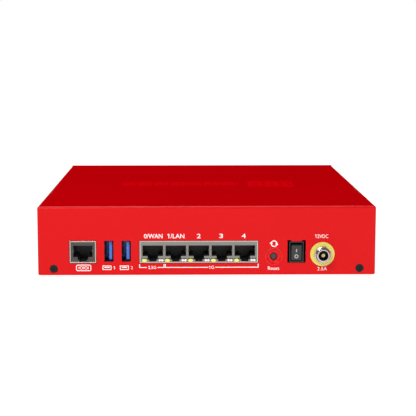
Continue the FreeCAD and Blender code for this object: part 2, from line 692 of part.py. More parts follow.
def cover_screws():
    """The two black flat-head screws that hold the panel to the tray."""
    body = new_body("cover_screws", loose=True)
    profile = new_sketch(body, "YZ", x="rear + screw_sink", y="rear_screw_z", z="rear_screw_x")
    outline(profile, [("0", "0"), ("0", "screw_head"), ("screw_head_height", "screw_radius"),
                      ("rear_screw_length", "screw_radius"), ("rear_screw_length", "0")])
    screw = revolve(body, profile)
    recess = cross_recess(body, "XZ", "rear_screw_x", "rear_screw_z", "-rear - screw_sink")
    mirror(body, [screw, recess])


def front_fascia():
    """The dark fascia in the front wall, with a lip behind it and a window for each status light."""
    body = new_body("front_fascia")
    lip = new_sketch(body, "XZ", y="fascia_z", z="sheet_thickness + fascia_lip_thickness - front")
    rectangle(lip, "fascia_width + 2 * fascia_lip", "fascia_height + 2 * fascia_lip")
    pad(body, lip, "fascia_lip_thickness", away=True)
    plate = new_sketch(body, "XZ", y="fascia_z", z="sheet_thickness - front")
    rectangle(plate, "fascia_width - 2 * fit_gap", "fascia_height - 2 * fit_gap")
    pad(body, plate, "sheet_thickness + fascia_proud", away=True)
    window = new_sketch(body, "XZ", x="light_first", y="fascia_z", z="-front - fascia_proud")
    rectangle(window, "light_width + 2 * thread_gap", "light_height + 2 * thread_gap")
    depth = "sheet_thickness + fascia_proud + fascia_lip_thickness"
    repeat(body, [pocket(body, window, depth, along=True)], window, "light_count", "light_pitch")


def light_guide():
    """A clear comb that carries light from the board's emitters to the fascia's windows."""
    body = new_body("light_guide")
    width = "light_pitch * (light_count - 1) + light_width"
    bar = new_sketch(body, "XZ", y="fascia_z", z="light_height / 2 - led_y")
    pad(body, rectangle(bar, width, "light_height"), "light_height", away=True)
    prong = new_sketch(body, "XZ", x="light_first", y="fascia_z", z="-front - fascia_proud")
    prong_pad = pad(body, rectangle(prong, "light_width", "light_height"), "front + fascia_proud - led_y")
    repeat(body, [prong_pad], prong, "light_count", "light_pitch")
    foot = "board_top + led_height + fit_gap"
    leg = new_sketch(body, "XY", x="light_first", y="led_y", z=foot)
    leg_pad = pad(body, rectangle(leg, "light_height", "light_height"), f"fascia_z - ({foot})")
    repeat(body, [leg_pad], leg, "light_count", "light_pitch")


# ---------------------------------------------------------------------------------------------------
# Main board and what holds it
# ---------------------------------------------------------------------------------------------------
def board_screw_places():
    """The six board screws: rear, middle and front, on both sides."""
    edge = "(board_half - board_screw_inset)"
    rows = ("board_rear + board_screw_inset", "board_middle", "board_front - board_screw_inset")
    return [(f"{side}{edge}", y) for y in rows for side in ("-", "")]


def main_board():
    """The printed circuit board, with a hole for each of its screws."""
    body = new_body("main_board")
    plan = new_sketch(body, "XY", y="board_middle", z="board_under")
    pad(body, rectangle(plan, "2 * board_half", "board_front - board_rear"), "board_thickness")
    holes = new_sketch(body, "XY", z="board_top")
    for x, y in board_screw_places():
        circle(holes, "screw_radius + fit_gap", x, y)
    pocket(body, holes, "board_thickness")


def board_standoffs():
    """Hexagonal threaded standoffs on the tray's floor."""
    posts = []
    for x, y in board_screw_places():
        post = DOC.addObject("Part::Prism", "standoff")
        bind(post, Circumradius="standoff_flats / 2 / cos(30)", Height="standoff_height",
             Placement__Base__x=x, Placement__Base__y=y, Placement__Base__z="tray_top")
        bore = upright("thread", "screw_radius + thread_gap", "standoff_height", x, y, "tray_top")
        posts.append(cut("standoff_bored", post, bore))
    group("board_standoffs", posts)


def board_screws():
    """Pan-head screws through the board into the standoffs."""
    screws = []
    for x, y in board_screw_places():
        head = upright("head", "board_screw_head", "board_head_height", x, y, "board_top")
        shank = upright("shank", "screw_radius", "board_screw_length", x, y,
                        "board_top - board_screw_length")
        z = "board_top + board_head_height - recess_depth"
        arms = [block("arm", *size, "recess_depth", x, f"{y} - ({size[1]}) / 2", z)
                for size in (("recess_span", "recess_width"), ("recess_width", "recess_span"))]
        screws.append(cut("screw", fuse("screw_blank", head, shank), fuse("recess", *arms)))
    group("board_screws", screws)


def insulation_sheet():
    """A thin plastic sheet on the tray's floor under the board, cut out round the standoffs."""
    flat = block("insulation_blank", "2 * board_half", "board_front - board_rear", "insulator_thickness",
                 "0", "board_rear", "tray_top")
    radius = "standoff_flats / 2 / cos(30) + fit_gap"
    holes = [upright("clearance", radius, "insulator_thickness", x, y, "tray_top")
             for x, y in board_screw_places()]
    piece(cut("insulation_sheet", flat, fuse("clearances", *holes)), "insulation_sheet")


# ---------------------------------------------------------------------------------------------------
# Network jacks
# ---------------------------------------------------------------------------------------------------
def mouth_outline(sketch, kind):
    """The stepped mouth of a network jack, latch slot down; the sketch's origin is on the board."""
    steps = [(f"{kind}_mouth / 2", "mouth_top"), (f"{kind}_mouth / 2", f"{kind}_shoulder"),
             ("latch_width / 2", f"{kind}_shoulder"), ("latch_width / 2", "latch_floor"),
             ("tab_width / 2", "latch_floor"), ("tab_width / 2", "tab_floor")]
    return outline(sketch, steps + [(f"-({x})", z) for x, z in reversed(steps)])


def jack_shield(label, x, width, first, count, kind):
    """A folded metal shield with a raised rim and a mouth for each jack in the row."""
    body = new_body(label)
    middle = "board_top + jack_height / 2"
    outside = rectangle(new_sketch(body, "XZ", x=x, y=middle, z="-jack_rim"), width, "jack_height")
    pad(body, outside, "jack_depth", away=True)
    face = new_sketch(body, "XZ", x=x, y=middle, z="-jack_rim")
    pocket(body, rectangle(face, f"{width} - 2 * rim_width", "jack_height - 2 * rim_width"), "rim_depth")
    inside = new_sketch(body, "XZ", x=x, y=middle, z="-jack_face - jack_wall")
    rectangle(inside, f"{width} - 2 * jack_wall", "jack_height - 2 * jack_wall")
    pocket(body, inside, "jack_depth")
    opening = mouth_outline(new_sketch(body, "XZ", x=first, y="board_top", z="-jack_rim"), kind)
    mouths = [pocket(body, opening, "rim_depth + jack_wall")]
    if count == "1":
        return
    for side in ("-", "+"):
        lamp = new_sketch(body, "XZ", x=f"{first} {side} lamp_offset",
                          y="board_top + lamp_rise + lamp_height / 2", z="-jack_rim")
        rectangle(lamp, "lamp_width + 2 * thread_gap", "lamp_height + 2 * thread_gap")
        mouths.append(pocket(body, lamp, "rim_depth + jack_wall"))
    repeat(body, mouths, opening, count, "port_pitch")


def jack_insert(label, x, width, first, count, kind):
    """The plastic insert that fills a shield and holds the contact wires."""
    body = new_body(label)
    face = "jack_face + jack_wall"
    outside = new_sketch(body, "XZ", x=x, y="board_top + jack_height / 2", z=f"-({face})")
    rectangle(outside, f"{width} - 2 * jack_wall", "jack_height - 2 * jack_wall")
    pad(body, outside, "jack_depth - rim_depth - jack_wall", away=True)
    opening = mouth_outline(new_sketch(body, "XZ", x=first, y="board_top", z=f"-({face})"), kind)
    cavity = pocket(body, opening, "mouth_depth")
    if count != "1":
        repeat(body, [cavity], opening, count, "port_pitch")


def contact_wires(label, first, count):
    """Springy contact wires that slope down from the roof of each mouth."""
    body = new_body(label, loose=True)
    tip = "jack_face + jack_wall + mouth_depth - pin_reach"
    side = new_sketch(body, "YZ", x=tip, y="board_top + mouth_top",
                      z=f"{first} - pin_pitch * (pin_count - 1) / 2 - pin_width / 2")
    level = "pin_width - pin_drop"
    outline(side, [("0", "-pin_width"), ("pin_slope", "-pin_drop"), ("pin_reach", "-pin_drop"),
                   ("pin_reach", level), ("pin_slope + pin_width", level), ("pin_width", "0"), ("0", "0")])
    wire = pad(body, side, "pin_width")
    if count == "1":
        repeat(body, [wire], side, "pin_count", "pin_pitch", "N_Axis")
        return
    rows = body.newObject("PartDesign::MultiTransform", f"{label}_rows")
    rows.Originals = [wire]
    rows.Transformations = [pattern_step(body, side, "pin_count", "pin_pitch", "N_Axis"),
                            pattern_step(body, side, count, "port_pitch", "N_Axis")]
    body.Tip = rows


def port_lamps(label, side):
    """The lamps in the lower corners of the ports, on one side of each."""
    lamps = []
    for n in range(int(value("port_count"))):
        x = f"port_first + port_pitch * {n} {side} lamp_offset"
        lamps.append(block("lamp", "lamp_width", "jack_wall + lamp_proud", "lamp_height", x,
                           "jack_face - lamp_proud", "board_top + lamp_rise"))
    group(label, lamps)


def network_jacks():
    """The single console jack and the row of network ports."""
    console = ("console_x", "jack_width", "console_x", "1", "console")
    jack_shield("console_jack_shield", *console)
    jack_insert("console_jack_insert", *console)
    contact_wires("console_jack_contacts", "console_x", "1")
    ports = ("ports_x", "ports_width", "port_first", "port_count", "port")
    jack_shield("port_block_shield", *ports)
    jack_insert("port_block_insert", *ports)
    contact_wires("port_block_contacts", "port_first", "port_count")
    port_lamps("link_lamps", "-")
    port_lamps("activity_lamps", "+")


# ---------------------------------------------------------------------------------------------------
# Data sockets
# ---------------------------------------------------------------------------------------------------
def data_sockets():
    """Upright data sockets behind the panel: a metal shell on stakes, a plastic tongue and its contacts."""
    inner_width, inner_height = "(usb_width - 2 * usb_wall)", "(usb_height - 2 * usb_wall)"
    tongue_rear = "usb_face + usb_depth - usb_wall"
    root = "(usb_depth - usb_wall - tongue_length - tongue_setback)"
    for n in range(int(value("usb_count"))):
        x = f"usb_x + usb_pitch * {n}"
        shell = new_body(f"data_socket_{n + 1}_shell")
        outside = new_sketch(shell, "XZ", x=x, y="usb_z", z="-usb_face")
        pad(shell, rectangle(outside, "usb_width", "usb_height"), "usb_depth", away=True)
        stakes = new_sketch(shell, "XY", x=x, y="board_rear + usb_stake", z="board_top")
        rectangle(stakes, "usb_width", "usb_stake")
        rectangle(stakes, "usb_width", "usb_stake", y="3 * usb_stake")
        pad(shell, stakes, "usb_rise + usb_wall / 2")
        inside = new_sketch(shell, "XZ", x=x, y="usb_z", z="-usb_face")
        rectangle(inside, inner_width, inner_height)
        pocket(shell, inside, "usb_depth - usb_wall")
        tongue = new_body(f"data_socket_{n + 1}_tongue")
        base = new_sketch(tongue, "XZ", x=x, y="usb_z", z=f"-({tongue_rear})")
        pad(tongue, rectangle(base, inner_width, inner_height), root)
        blade = new_sketch(tongue, "XZ", x=f"{x} + tongue_offset", y="usb_z", z=f"{root} - ({tongue_rear})")
        pad(tongue, rectangle(blade, "tongue_thickness", "tongue_height"), "tongue_length")
        tip = f"{tongue_rear} - {root} - tongue_length"
        pads = [block("pad", "pad_plating", "tongue_length - 2 * pad_inset", "pad_width",
                      f"{x} + tongue_offset - tongue_thickness / 2 - pad_plating / 2", f"{tip} + pad_inset",
                      f"usb_z + tongue_height * (({k} + 0.5) / tongue_pads - 0.5) - pad_width / 2")
                for k in range(int(value("tongue_pads")))]
        group(f"data_socket_{n + 1}_contacts", pads)


# ---------------------------------------------------------------------------------------------------
# Reset button
# ---------------------------------------------------------------------------------------------------
def reset_switch():
    """The reset switch on the board: its body, its snap dome and the button that slides in it."""
    body = new_body("reset_switch_body")
    outside = new_sketch(body, "XZ", x="reset_x", y="reset_z", z="-reset_body_rear")
    pad(body, rectangle(outside, "reset_body_width", "2 * reset_rise"), "reset_body_depth", away=True)
    bore = new_sketch(body, "YZ", x="reset_body_rear", y="reset_z", z="reset_x")
    narrow, wide = "button_radius + slide_gap", "button_collar + slide_gap"
    step, end = "reset_front_wall", "reset_front_wall + chamber_depth"
    outline(bore, [("0", "0"), ("0", narrow), (step, narrow), (step, wide), (end, wide), (end, "0")])
    revolve(body, bore, "Groove")
    dome = new_body("reset_snap_dome")
    seat = new_sketch(dome, "XZ", x="reset_x", y="reset_z", z="-chamber_rear - chamber_depth")
    pad(dome, circle(seat, "button_collar"), "dome_thickness")
    button = new_body("reset_button")
    tip = "rear + dish_depth + button_inset"
    stem = f"chamber_rear + slide_gap - ({tip})"
    tail = f"{stem} + collar_length"
    profile = new_sketch(button, "YZ", x=tip, y="reset_z", z="reset_x")
    outline(profile, [("0", "0"), ("0", "button_radius - button_inset"), ("button_inset", "button_radius"),
                      (stem, "button_radius"), (stem, "button_collar"), (tail, "button_collar"),
                      (tail, "0")])
    revolve(button, profile)


# ---------------------------------------------------------------------------------------------------
# Power switch
# ---------------------------------------------------------------------------------------------------
def switch_housing():
    """The power switch's housing, with a well for the rocker and sockets for its trunnions."""
    housing = new_body("power_switch_housing")
    outside = new_sketch(housing, "XZ", x="switch_x", y="switch_z", z="-switch_face")
    pad(housing, rectangle(outside, "switch_width", "switch_height"), "switch_depth", away=True)
    well = new_sketch(housing, "XZ", x="switch_x", y="switch_z", z="-switch_face")
    well_cut = pocket(housing, rectangle(well, "window_width", "window_height"), "window_depth")
    x, y, z = (value(text) for text in ("switch_x", "switch_face", "switch_z"))
    half_width, half_height = value("window_width / 2"), value("window_height / 2")

    def window_rim(edge):
        upright_side = flat_at(edge, 0, x - half_width, x + half_width)
        level_side = flat_at(edge, 2, z - half_height, z + half_height)
        return flat_at(edge, 1, y) and (upright_side or level_side)

    dress(housing, "Chamfer", well_cut, window_rim, Size="bevel")
    half_span = "(window_width / 2 + pivot_length + slide_gap)"
    sockets = new_sketch(housing, "YZ", x="switch_face + pivot_depth", y="switch_z",
                         z=f"switch_x + {half_span}")
    circle(sockets, "pivot_radius + slide_gap")
    pocket(housing, sockets, f"2 * {half_span}")


def power_rocker():
    """The rocker on its trunnions, tilted to its off position, where its upper end stands out."""
    rocker = new_body("power_rocker")
    side = new_sketch(rocker, "YZ", z="-rocker_width / 2")
    upper = [("-rocker_reach", "rocker_half"), ("-rocker_shoulder", "rocker_belly"),
             ("rocker_back", "rocker_heel")]
    lower = [(y, f"-{z}") for y, z in reversed(upper)]
    outline(side, [("-rocker_valley", "0")] + upper + lower)
    pad(rocker, side, "rocker_width")
    trunnion = new_sketch(rocker, "YZ", z="-window_width / 2 - pivot_length")
    pad(rocker, circle(trunnion, "pivot_radius"), "window_width + 2 * pivot_length")
    tilt = FreeCAD.Rotation(FreeCAD.Vector(1, 0, 0), value("rocker_swing"))
    rocker.Placement = FreeCAD.Placement(FreeCAD.Vector(), tilt)
    bind(rocker, Placement__Base__x="switch_x", Placement__Base__y="switch_face + pivot_depth",
         Placement__Base__z="switch_z", Placement__Rotation__Angle="rocker_swing")


def power_switch():
    """The power switch: its housing, its rocker and its two terminals down to the board."""
    switch_housing()
    power_rocker()
    rear = "switch_face + switch_depth"
    legs = []
    for side in ("-", "+"):
        x = f"switch_x {side} terminal_offset"
        arm = block("leg_arm", "terminal_width", "terminal_reach", "terminal_thickness", x, rear,
                    "switch_z")
        drop = block("leg_drop", "terminal_width", "terminal_thickness", "switch_z - board_top", x,
                     f"{rear} + terminal_reach - terminal_thickness", "board_top")
        legs.append(fuse("leg", arm, drop))
    group("power_switch_terminals", legs)


# ---------------------------------------------------------------------------------------------------
# Power inlet
# ---------------------------------------------------------------------------------------------------
def turned(label, profile, y="inlet_mouth"):
    """A turned piece on the inlet's axis; profile gives its length and radius from y."""
    body = new_body(label)
    revolve(body, outline(new_sketch(body, "YZ", x=y, y="inlet_z", z="inlet_x"), profile))


def power_inlet():
    """The threaded power inlet: barrel, liner, centre contact, body, coloured washer and nut."""
    neck, back = "flange_face - inlet_mouth", "inlet_body_rear - inlet_mouth"
    turned("inlet_barrel", [("0", "barrel_bore"), ("0", "barrel_radius - bevel"),
                            ("bevel", "barrel_radius"), (neck, "barrel_radius"), (neck, "barrel_flange"),
                            (back, "barrel_flange"), (back, "barrel_bore")])
    turned("inlet_liner", [("liner_setback", "liner_bore"), ("liner_setback", "barrel_bore"),
                           (back, "barrel_bore"), (back, "liner_bore")])
    tip, tail = "contact_setback", f"{back} + inlet_depth"
    turned("inlet_contact", [(tip, "0"), (tip, "contact_radius - bevel"),
                             (f"{tip} + bevel", "contact_radius"), (back, "contact_radius"),
                             (back, "contact_tail"), (tail, "contact_tail"), (tail, "0")])
    body = new_body("inlet_body")
    outside = new_sketch(body, "XZ", x="inlet_x", y="inlet_z", z="-inlet_body_rear")
    pad(body, rectangle(outside, "inlet_width", "2 * inlet_rise"), "inlet_depth", away=True)
    hole = new_sketch(body, "XZ", x="inlet_x", y="inlet_z", z="-inlet_body_rear - inlet_depth")
    pocket(body, circle(hole, "contact_tail"), "inlet_depth", along=True)
    leg = block("inlet_leg", "2 * contact_tail", "terminal_thickness", "inlet_rise + contact_tail",
                "inlet_x", "inlet_body_rear + inlet_depth", "board_top")
    piece(leg, "inlet_terminal")
    inlet_fixings()


def inlet_fixings():
    """The coloured washer and the nut that clamp the inlet to the panel."""
    hole, band = "barrel_radius + fit_gap", "washer_radius - washer_band"
    edge = "washer_radius - washer_step"
    turned("inlet_washer", [("0", hole), ("0", band), ("washer_step", f"{band} + washer_step"),
                            ("washer_step", edge), ("2 * washer_step", "washer_radius"),
                            ("washer_thickness", "washer_radius"), ("washer_thickness", hole)],
           y="rear - washer_thickness")
    nut = new_body("inlet_nut")
    seat, face = "washer_thickness - rear", "nut_thickness + washer_thickness - rear"
    plan = hexagon(new_sketch(nut, "XZ", x="inlet_x", y="inlet_z", z=seat), "nut_flats", "nut_turn")
    pad(nut, plan, "nut_thickness")
    thread = circle(new_sketch(nut, "XZ", x="inlet_x", y="inlet_z", z=face), "barrel_radius + thread_gap")
    pocket(nut, thread, "nut_thickness")
    corners = new_sketch(nut, "YZ", x=f"-({face})", y="inlet_z", z="inlet_x")
    outline(corners, [("0", "nut_flats / 2"), ("0", "nut_flats"), ("nut_flats / 4", "nut_flats")])
    revolve(nut, corners, "Groove")


# ---------------------------------------------------------------------------------------------------
# Parts on the board
# ---------------------------------------------------------------------------------------------------
def chip(label, width, depth, height, x, y, z="board_top"):
    """A flat package centred on x, y that is a sub-part of its own."""
    piece(block(label, width, depth, height, x, f"{y} - ({depth}) / 2", z), label)


def cooling():
    """The processor, its thermal pad, the finned heat sink and the two pins that hold it down."""
    chip("processor", "chip_size", "chip_size", "chip_height", "sink_x", "board_middle")
    chip("thermal_pad", "chip_size", "chip_size", "pad_thickness", "sink_x", "board_middle",
         "board_top + chip_height")
    sink = new_body("heat_sink")
    base = new_sketch(sink, "XY", x="sink_x", y="board_middle", z="sink_under")
    pad(sink, rectangle(base, "sink_size", "sink_size"), "sink_base")
    fin = new_sketch(sink, "XY", x="sink_right - sink_size + fin_thickness / 2", y="board_middle",
                     z="sink_top")
    rectangle(fin, "fin_thickness", "sink_size")
    fin_pad = pad(sink, fin, "sink_height - sink_base", away=True)
    repeat(sink, [fin_pad], fin, "fin_count", "(sink_size - fin_thickness) / (fin_count - 1)")
    wells = new_sketch(sink, "XY", z="sink_top")
    holes = new_sketch(sink, "XY", z="sink_top")
    pins = []
    for side in ("-", "+"):
        reach = f"{side} (sink_size / 2 - sink_pin_inset)"
        x, y = f"sink_x {reach}", f"board_middle {reach}"
        circle(wells, "sink_pin_head + fit_gap", x, y)
        circle(holes, "sink_pin_radius + fit_gap", x, y)
        stem = upright("pin_stem", "sink_pin_radius", "sink_under + sink_base - board_top", x, y,
                       "board_top")
        head = upright("pin_head", "sink_pin_head", "pin_head_height", x, y, "sink_under + sink_base")
        pins.append(fuse("pin", stem, head))
    pocket(sink, wells, "sink_height - sink_base")
    pocket(sink, holes, "sink_height")
    group("heat_sink_pins", pins)


def row_of(label, count, make):
    """A group of identical pieces; make gives the piece for each number and its place from the middle."""
    total = int(value(count))
    group(label, [make(n, f"({n} - ({count} - 1) / 2)") for n in range(total)])


def network_chips():
    """The transformers behind the network ports and the two chips that drive the ports."""
    near_edge = "jack_rim + jack_depth + transformer_gap"
    row_of("network_transformers", "port_count", lambda n, place: block(
        "transformer", "transformer_width", "transformer_depth", "transformer_height",
        f"port_first + port_pitch * {n}", near_edge, "board_top"))
    beyond = f"{near_edge} + transformer_depth + package_gap + switch_chip_size / 2"
    chip("port_switch_chip", "switch_chip_size", "switch_chip_size", "package_height", "ports_x", beyond)
    chip("fast_port_chip", "fast_chip_size", "fast_chip_size", "package_height", "port_first", beyond)


def memory_and_storage():
    """The memory chips to the right of the heat sink and the storage chip to its left."""
    x = "sink_right + package_gap + memory_width / 2"
    row_of("memory_chips", "memory_count", lambda n, place: block(
        "memory", "memory_width", "memory_depth", "package_height", x,
        f"board_middle + memory_pitch * {place} - memory_depth / 2", "board_top"))
    chip("storage_chip", "storage_width", "storage_depth", "package_height",
         "sink_right - sink_size - package_gap - storage_width / 2", "board_middle")


def power_parts():
    """The inductors behind the power inlet, with a capacitor behind each."""
    coil_rear = "inlet_body_rear + inlet_depth + power_gap"
    can_y = f"{coil_rear} + coil_size + capacitor_gap + capacitor_radius"
    row_of("power_coils", "power_count", lambda n, place: block(
        "coil", "coil_size", "coil_size", "coil_height", f"inlet_x - power_pitch * {n}", coil_rear,
        "board_top"))
    row_of("power_capacitors", "power_count", lambda n, place: upright(
        "can", "capacitor_radius", "capacitor_height", f"inlet_x - power_pitch * {n}", can_y, "board_top"))


def status_emitters():
    """The light emitters under the legs of the light guide."""
    row_of("status_emitters", "light_count", lambda n, place: block(
        "emitter", "led_length", "led_length", "led_height", f"light_pitch * {place}",
        "led_y - led_length / 2", "board_top"))


def clock_cell():
    """The coin cell that keeps the clock, in its round holder near the front left corner."""
    x, y = "cell_inset - board_half", "board_front - cell_inset"
    outside, inside = "cell_radius + fit_gap + holder_wall", "cell_radius + fit_gap"
    drum = upright("holder_blank", outside, "holder_floor + holder_rim", x, y, "board_top")
    well = upright("holder_well", inside, "holder_rim", x, y, "board_top + holder_floor")
    piece(cut("cell_holder", drum, well), "cell_holder")
    piece(upright("coin_cell", "cell_radius", "cell_height", x, y, "board_top + holder_floor"), "coin_cell")


# ---------------------------------------------------------------------------------------------------
# Build, check and export
# ---------------------------------------------------------------------------------------------------
def check_and_export():
    """Checks every object and every sub-part's shape, then writes each sub-part to parts/ by its label."""
    DOC.recompute()
    broken = [item.Label for item in DOC.Objects if {"Invalid", "Error"} & set(item.State)]
    broken += [item.Label for item in PIECES if item.Shape.isNull() or not item.Shape.isValid()]
    if broken:
        raise RuntimeError(f"these objects failed: {sorted(set(broken))}")
    os.makedirs("parts", exist_ok=True)
    for item in PIECES:
        item.Shape.exportStep(f"parts/{item.Label}.step")
        print(f"{item.Label}: {len(item.Shape.Solids)} solids, {item.Shape.Volume:.1f} mm3")


fill_sheet()
cover_shell()
base_tray()
front_fascia()
light_guide()
rubber_feet()
cover_screws()
main_board()
board_standoffs()
board_screws()
insulation_sheet()
network_jacks()
data_sockets()
reset_switch()
power_switch()
power_inlet()
cooling()
network_chips()
memory_and_storage()
power_parts()
status_emitters()
clock_cell()
check_and_export()
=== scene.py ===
"""Looks of a desktop firewall appliance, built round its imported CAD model.

The connector panel is the rear and faces -Y, the status fascia faces +Y and +Z is up. The frame is in metres;
the sizes that the classes hold are in millimetres, and MM turns them to metres.
"""

import json
import logging
import math
from contextlib import contextmanager
from dataclasses import dataclass, field
from enum import Enum
from typing import Callable, Iterator, Sequence

import bmesh
import bpy
from mathutils import Matrix, Vector


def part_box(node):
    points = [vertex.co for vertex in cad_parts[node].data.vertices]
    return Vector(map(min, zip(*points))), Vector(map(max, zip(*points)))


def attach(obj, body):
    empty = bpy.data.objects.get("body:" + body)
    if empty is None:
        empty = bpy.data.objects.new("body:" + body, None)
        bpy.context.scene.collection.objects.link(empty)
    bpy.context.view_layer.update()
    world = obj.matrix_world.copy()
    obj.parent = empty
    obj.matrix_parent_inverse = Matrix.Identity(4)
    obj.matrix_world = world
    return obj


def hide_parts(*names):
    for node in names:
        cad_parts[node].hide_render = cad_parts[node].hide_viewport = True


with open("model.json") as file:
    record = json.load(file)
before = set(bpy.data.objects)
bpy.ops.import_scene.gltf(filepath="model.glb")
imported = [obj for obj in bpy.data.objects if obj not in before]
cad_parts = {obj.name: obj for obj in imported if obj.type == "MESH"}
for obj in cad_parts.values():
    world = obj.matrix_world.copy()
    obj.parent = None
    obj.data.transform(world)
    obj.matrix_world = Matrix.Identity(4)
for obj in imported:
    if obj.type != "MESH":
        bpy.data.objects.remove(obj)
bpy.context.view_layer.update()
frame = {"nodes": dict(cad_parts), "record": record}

LOG = logging.getLogger("appliance")
MM = 0.001
RIGHT_ANGLE = math.pi / 2
# Edges of the CAD model that turn by more than this many degrees are rounded.
SOFTENED_FROM = 40
# An edge or a face counts as lying along an axis if this share of its direction does.
ALONG = 0.9

Piece = bpy.types.Object
Point = Sequence[float]


class Body(Enum):
    """The moving groups of the CAD model."""

    CASE = "case"
    ROCKER = "rocker"
    RESET = "reset_button"


# ---- Finishes ----------------------------------------------------------------------------------
def linear(colour: str) -> tuple[float, float, float, float]:
    """Turns an sRGB hex value into linear light.

    Args:
        colour: a value such as "#c8102e".

    Returns:
        Red, green, blue and a full alpha.
    """
    channels = [int(colour[start:start + 2], 16) / 255 for start in (1, 3, 5)]
    lit = [c / 12.92 if c <= 0.04045 else ((c + 0.055) / 1.055) ** 2.4 for c in channels]
    return (lit[0], lit[1], lit[2], 1.0)


def add_node(tree: bpy.types.NodeTree, kind: str, settings: dict | None = None,
             links: dict | None = None) -> bpy.types.Node:
    """Adds a node with its settings and links.

    Args:
        tree: the node tree that takes it.
        kind: the node's type.
        settings: values by the name or number of an input, or by the name of a property.
        links: output sockets by the name or number of the input that takes them.

    Returns:
        The new node.
    """
    node = tree.nodes.new(kind)
    for name, value in (settings or {}).items():
        if isinstance(name, int) or name in node.inputs:
            node.inputs[name].default_value = value
        else:
            setattr(node, name, value)
    for name, socket in (links or {}).items():
        tree.links.new(socket, node.inputs[name])
    return node


class Grain(Enum):
    """How a surface was made, as the stretch of its fine pattern along X, Y and Z."""

    EVEN = (1.0, 1.0, 1.0)
    BRUSHED_ACROSS = (0.04, 1.0, 1.0)
    BRUSHED_ALONG = (1.0, 0.04, 1.0)
    BRUSHED_UP = (1.0, 1.0, 0.05)


@dataclass(frozen=True)
class Finish:
    """One surface finish, from what the real one is and how it was made.

    Attributes:
        title: the finish's common name, which names the material.
        colour: its main colour, sRGB.
        shade: the colour it varies towards.
        roughness: its mean roughness.
        spread: how far its roughness varies to each side.
        grain_mm: size of its fine pattern.
        relief_mm: height of that pattern.
        grain: the pattern's direction.
        cloud_mm: size of its broad, faint colour drift.
        cloud: how much of the shade that drift brings.
        fixed: values of the shader's own sockets that are the same all over.
    """

    title: str
    colour: str
    shade: str
    roughness: float
    spread: float = 0.05
    grain_mm: float = 0.8
    relief_mm: float = 0.01
    grain: Grain = Grain.EVEN
    cloud_mm: float = 30.0
    cloud: float = 0.15
    fixed: dict = field(default_factory=dict)

    def pattern(self, tree: bpy.types.NodeTree, size_mm: float, detail: float) -> bpy.types.NodeSocket:
        """A noise of a real size, stretched along the finish's grain.

        Args:
            tree: the material's node tree.
            size_mm: size of one blotch.
            detail: how many finer layers it has.

        Returns:
            The noise's value, from 0 to 1.
        """
        place = add_node(tree, "ShaderNodeTexCoord")
        drawn = add_node(tree, "ShaderNodeMapping", {"Scale": self.grain.value},
                         {"Vector": place.outputs["Object"]})
        noise = add_node(tree, "ShaderNodeTexNoise", {"Scale": 1 / (size_mm * MM), "Detail": detail},
                         {"Vector": drawn.outputs["Vector"]})
        return noise.outputs["Fac"]

    def colours(self, tree: bpy.types.NodeTree) -> bpy.types.NodeSocket:
        """The colour all over: the fine pattern and the broad drift, between colour and shade."""
        fine = self.pattern(tree, self.grain_mm, 2)
        broad = self.pattern(tree, self.cloud_mm, 1)
        part = add_node(tree, "ShaderNodeMath", {"operation": "MULTIPLY", 1: self.cloud}, {0: broad})
        both = add_node(tree, "ShaderNodeMath", {"operation": "MULTIPLY_ADD", 1: 1 - self.cloud},
                        {0: fine, 2: part.outputs[0]})
        mixed = add_node(tree, "ShaderNodeMix",
                         {"data_type": "RGBA", 6: linear(self.colour), 7: linear(self.shade)},
                         {0: both.outputs[0]})
        return mixed.outputs[2]

    def make(self) -> bpy.types.Material:
        """Makes the material, or gives the one that was made before."""
        if self.title in bpy.data.materials:
            return bpy.data.materials[self.title]
        material = bpy.data.materials.new(self.title)
        material.use_nodes = True
        tree = material.node_tree
        shader = tree.nodes["Principled BSDF"]
        for name, value in self.fixed.items():
            shader.inputs[name].default_value = value
        tree.links.new(self.colours(tree), shader.inputs["Base Color"])
        fine = self.pattern(tree, self.grain_mm, 2)
        rough = add_node(tree, "ShaderNodeMapRange",
                         {"To Min": self.roughness - self.spread, "To Max": self.roughness + self.spread},
                         {"Value": fine})
        tree.links.new(rough.outputs["Result"], shader.inputs["Roughness"])
        bump = add_node(tree, "ShaderNodeBump", {"Distance": self.relief_mm * MM}, {"Height": fine})
        tree.links.new(bump.outputs["Normal"], shader.inputs["Normal"])
        return material


@dataclass(frozen=True)
class BoardFinish(Finish):
    """Solder mask over copper: a laminate whose tracks show through as a lighter grid of runs."""

    track_mm: float = 1.3
    track: str = "#2c6a44"

    def colours(self, tree: bpy.types.NodeTree) -> bpy.types.NodeSocket:
        """The mask's own colour, with the lighter runs of the tracks laid over it."""
        mask = super().colours(tree)
        place = add_node(tree, "ShaderNodeTexCoord")
        runs = add_node(tree, "ShaderNodeTexBrick",
                        {"Scale": 1 / (self.track_mm * MM), "Mortar Size": 0.09, "Mortar Smooth": 0.0,
                         "Brick Width": 6.0, "Row Height": 1.0, "Color1": (0, 0, 0, 1),
                         "Color2": (0, 0, 0, 1), "Mortar": (1, 1, 1, 1)},
                        {"Vector": place.outputs["Object"]})
        mixed = add_node(tree, "ShaderNodeMix", {"data_type": "RGBA", 7: linear(self.track)},
                         {0: runs.outputs["Color"], 6: mask})
        return mixed.outputs[2]


# Satin powder coat on folded steel: an orange peel of fine bumps that the light catches as faint speckle. The
# real peel is near 0.3 mm; it is drawn at 0.9 mm, or it would be too fine to show.
POWDER_COAT = Finish("Red satin powder coat", "#c70003", "#d50e14", 0.3, spread=0.05, grain_mm=0.9,
                     relief_mm=0.02, cloud_mm=45, cloud=0.45, fixed={"IOR": 1.5, "Specular IOR Level": 0.15})
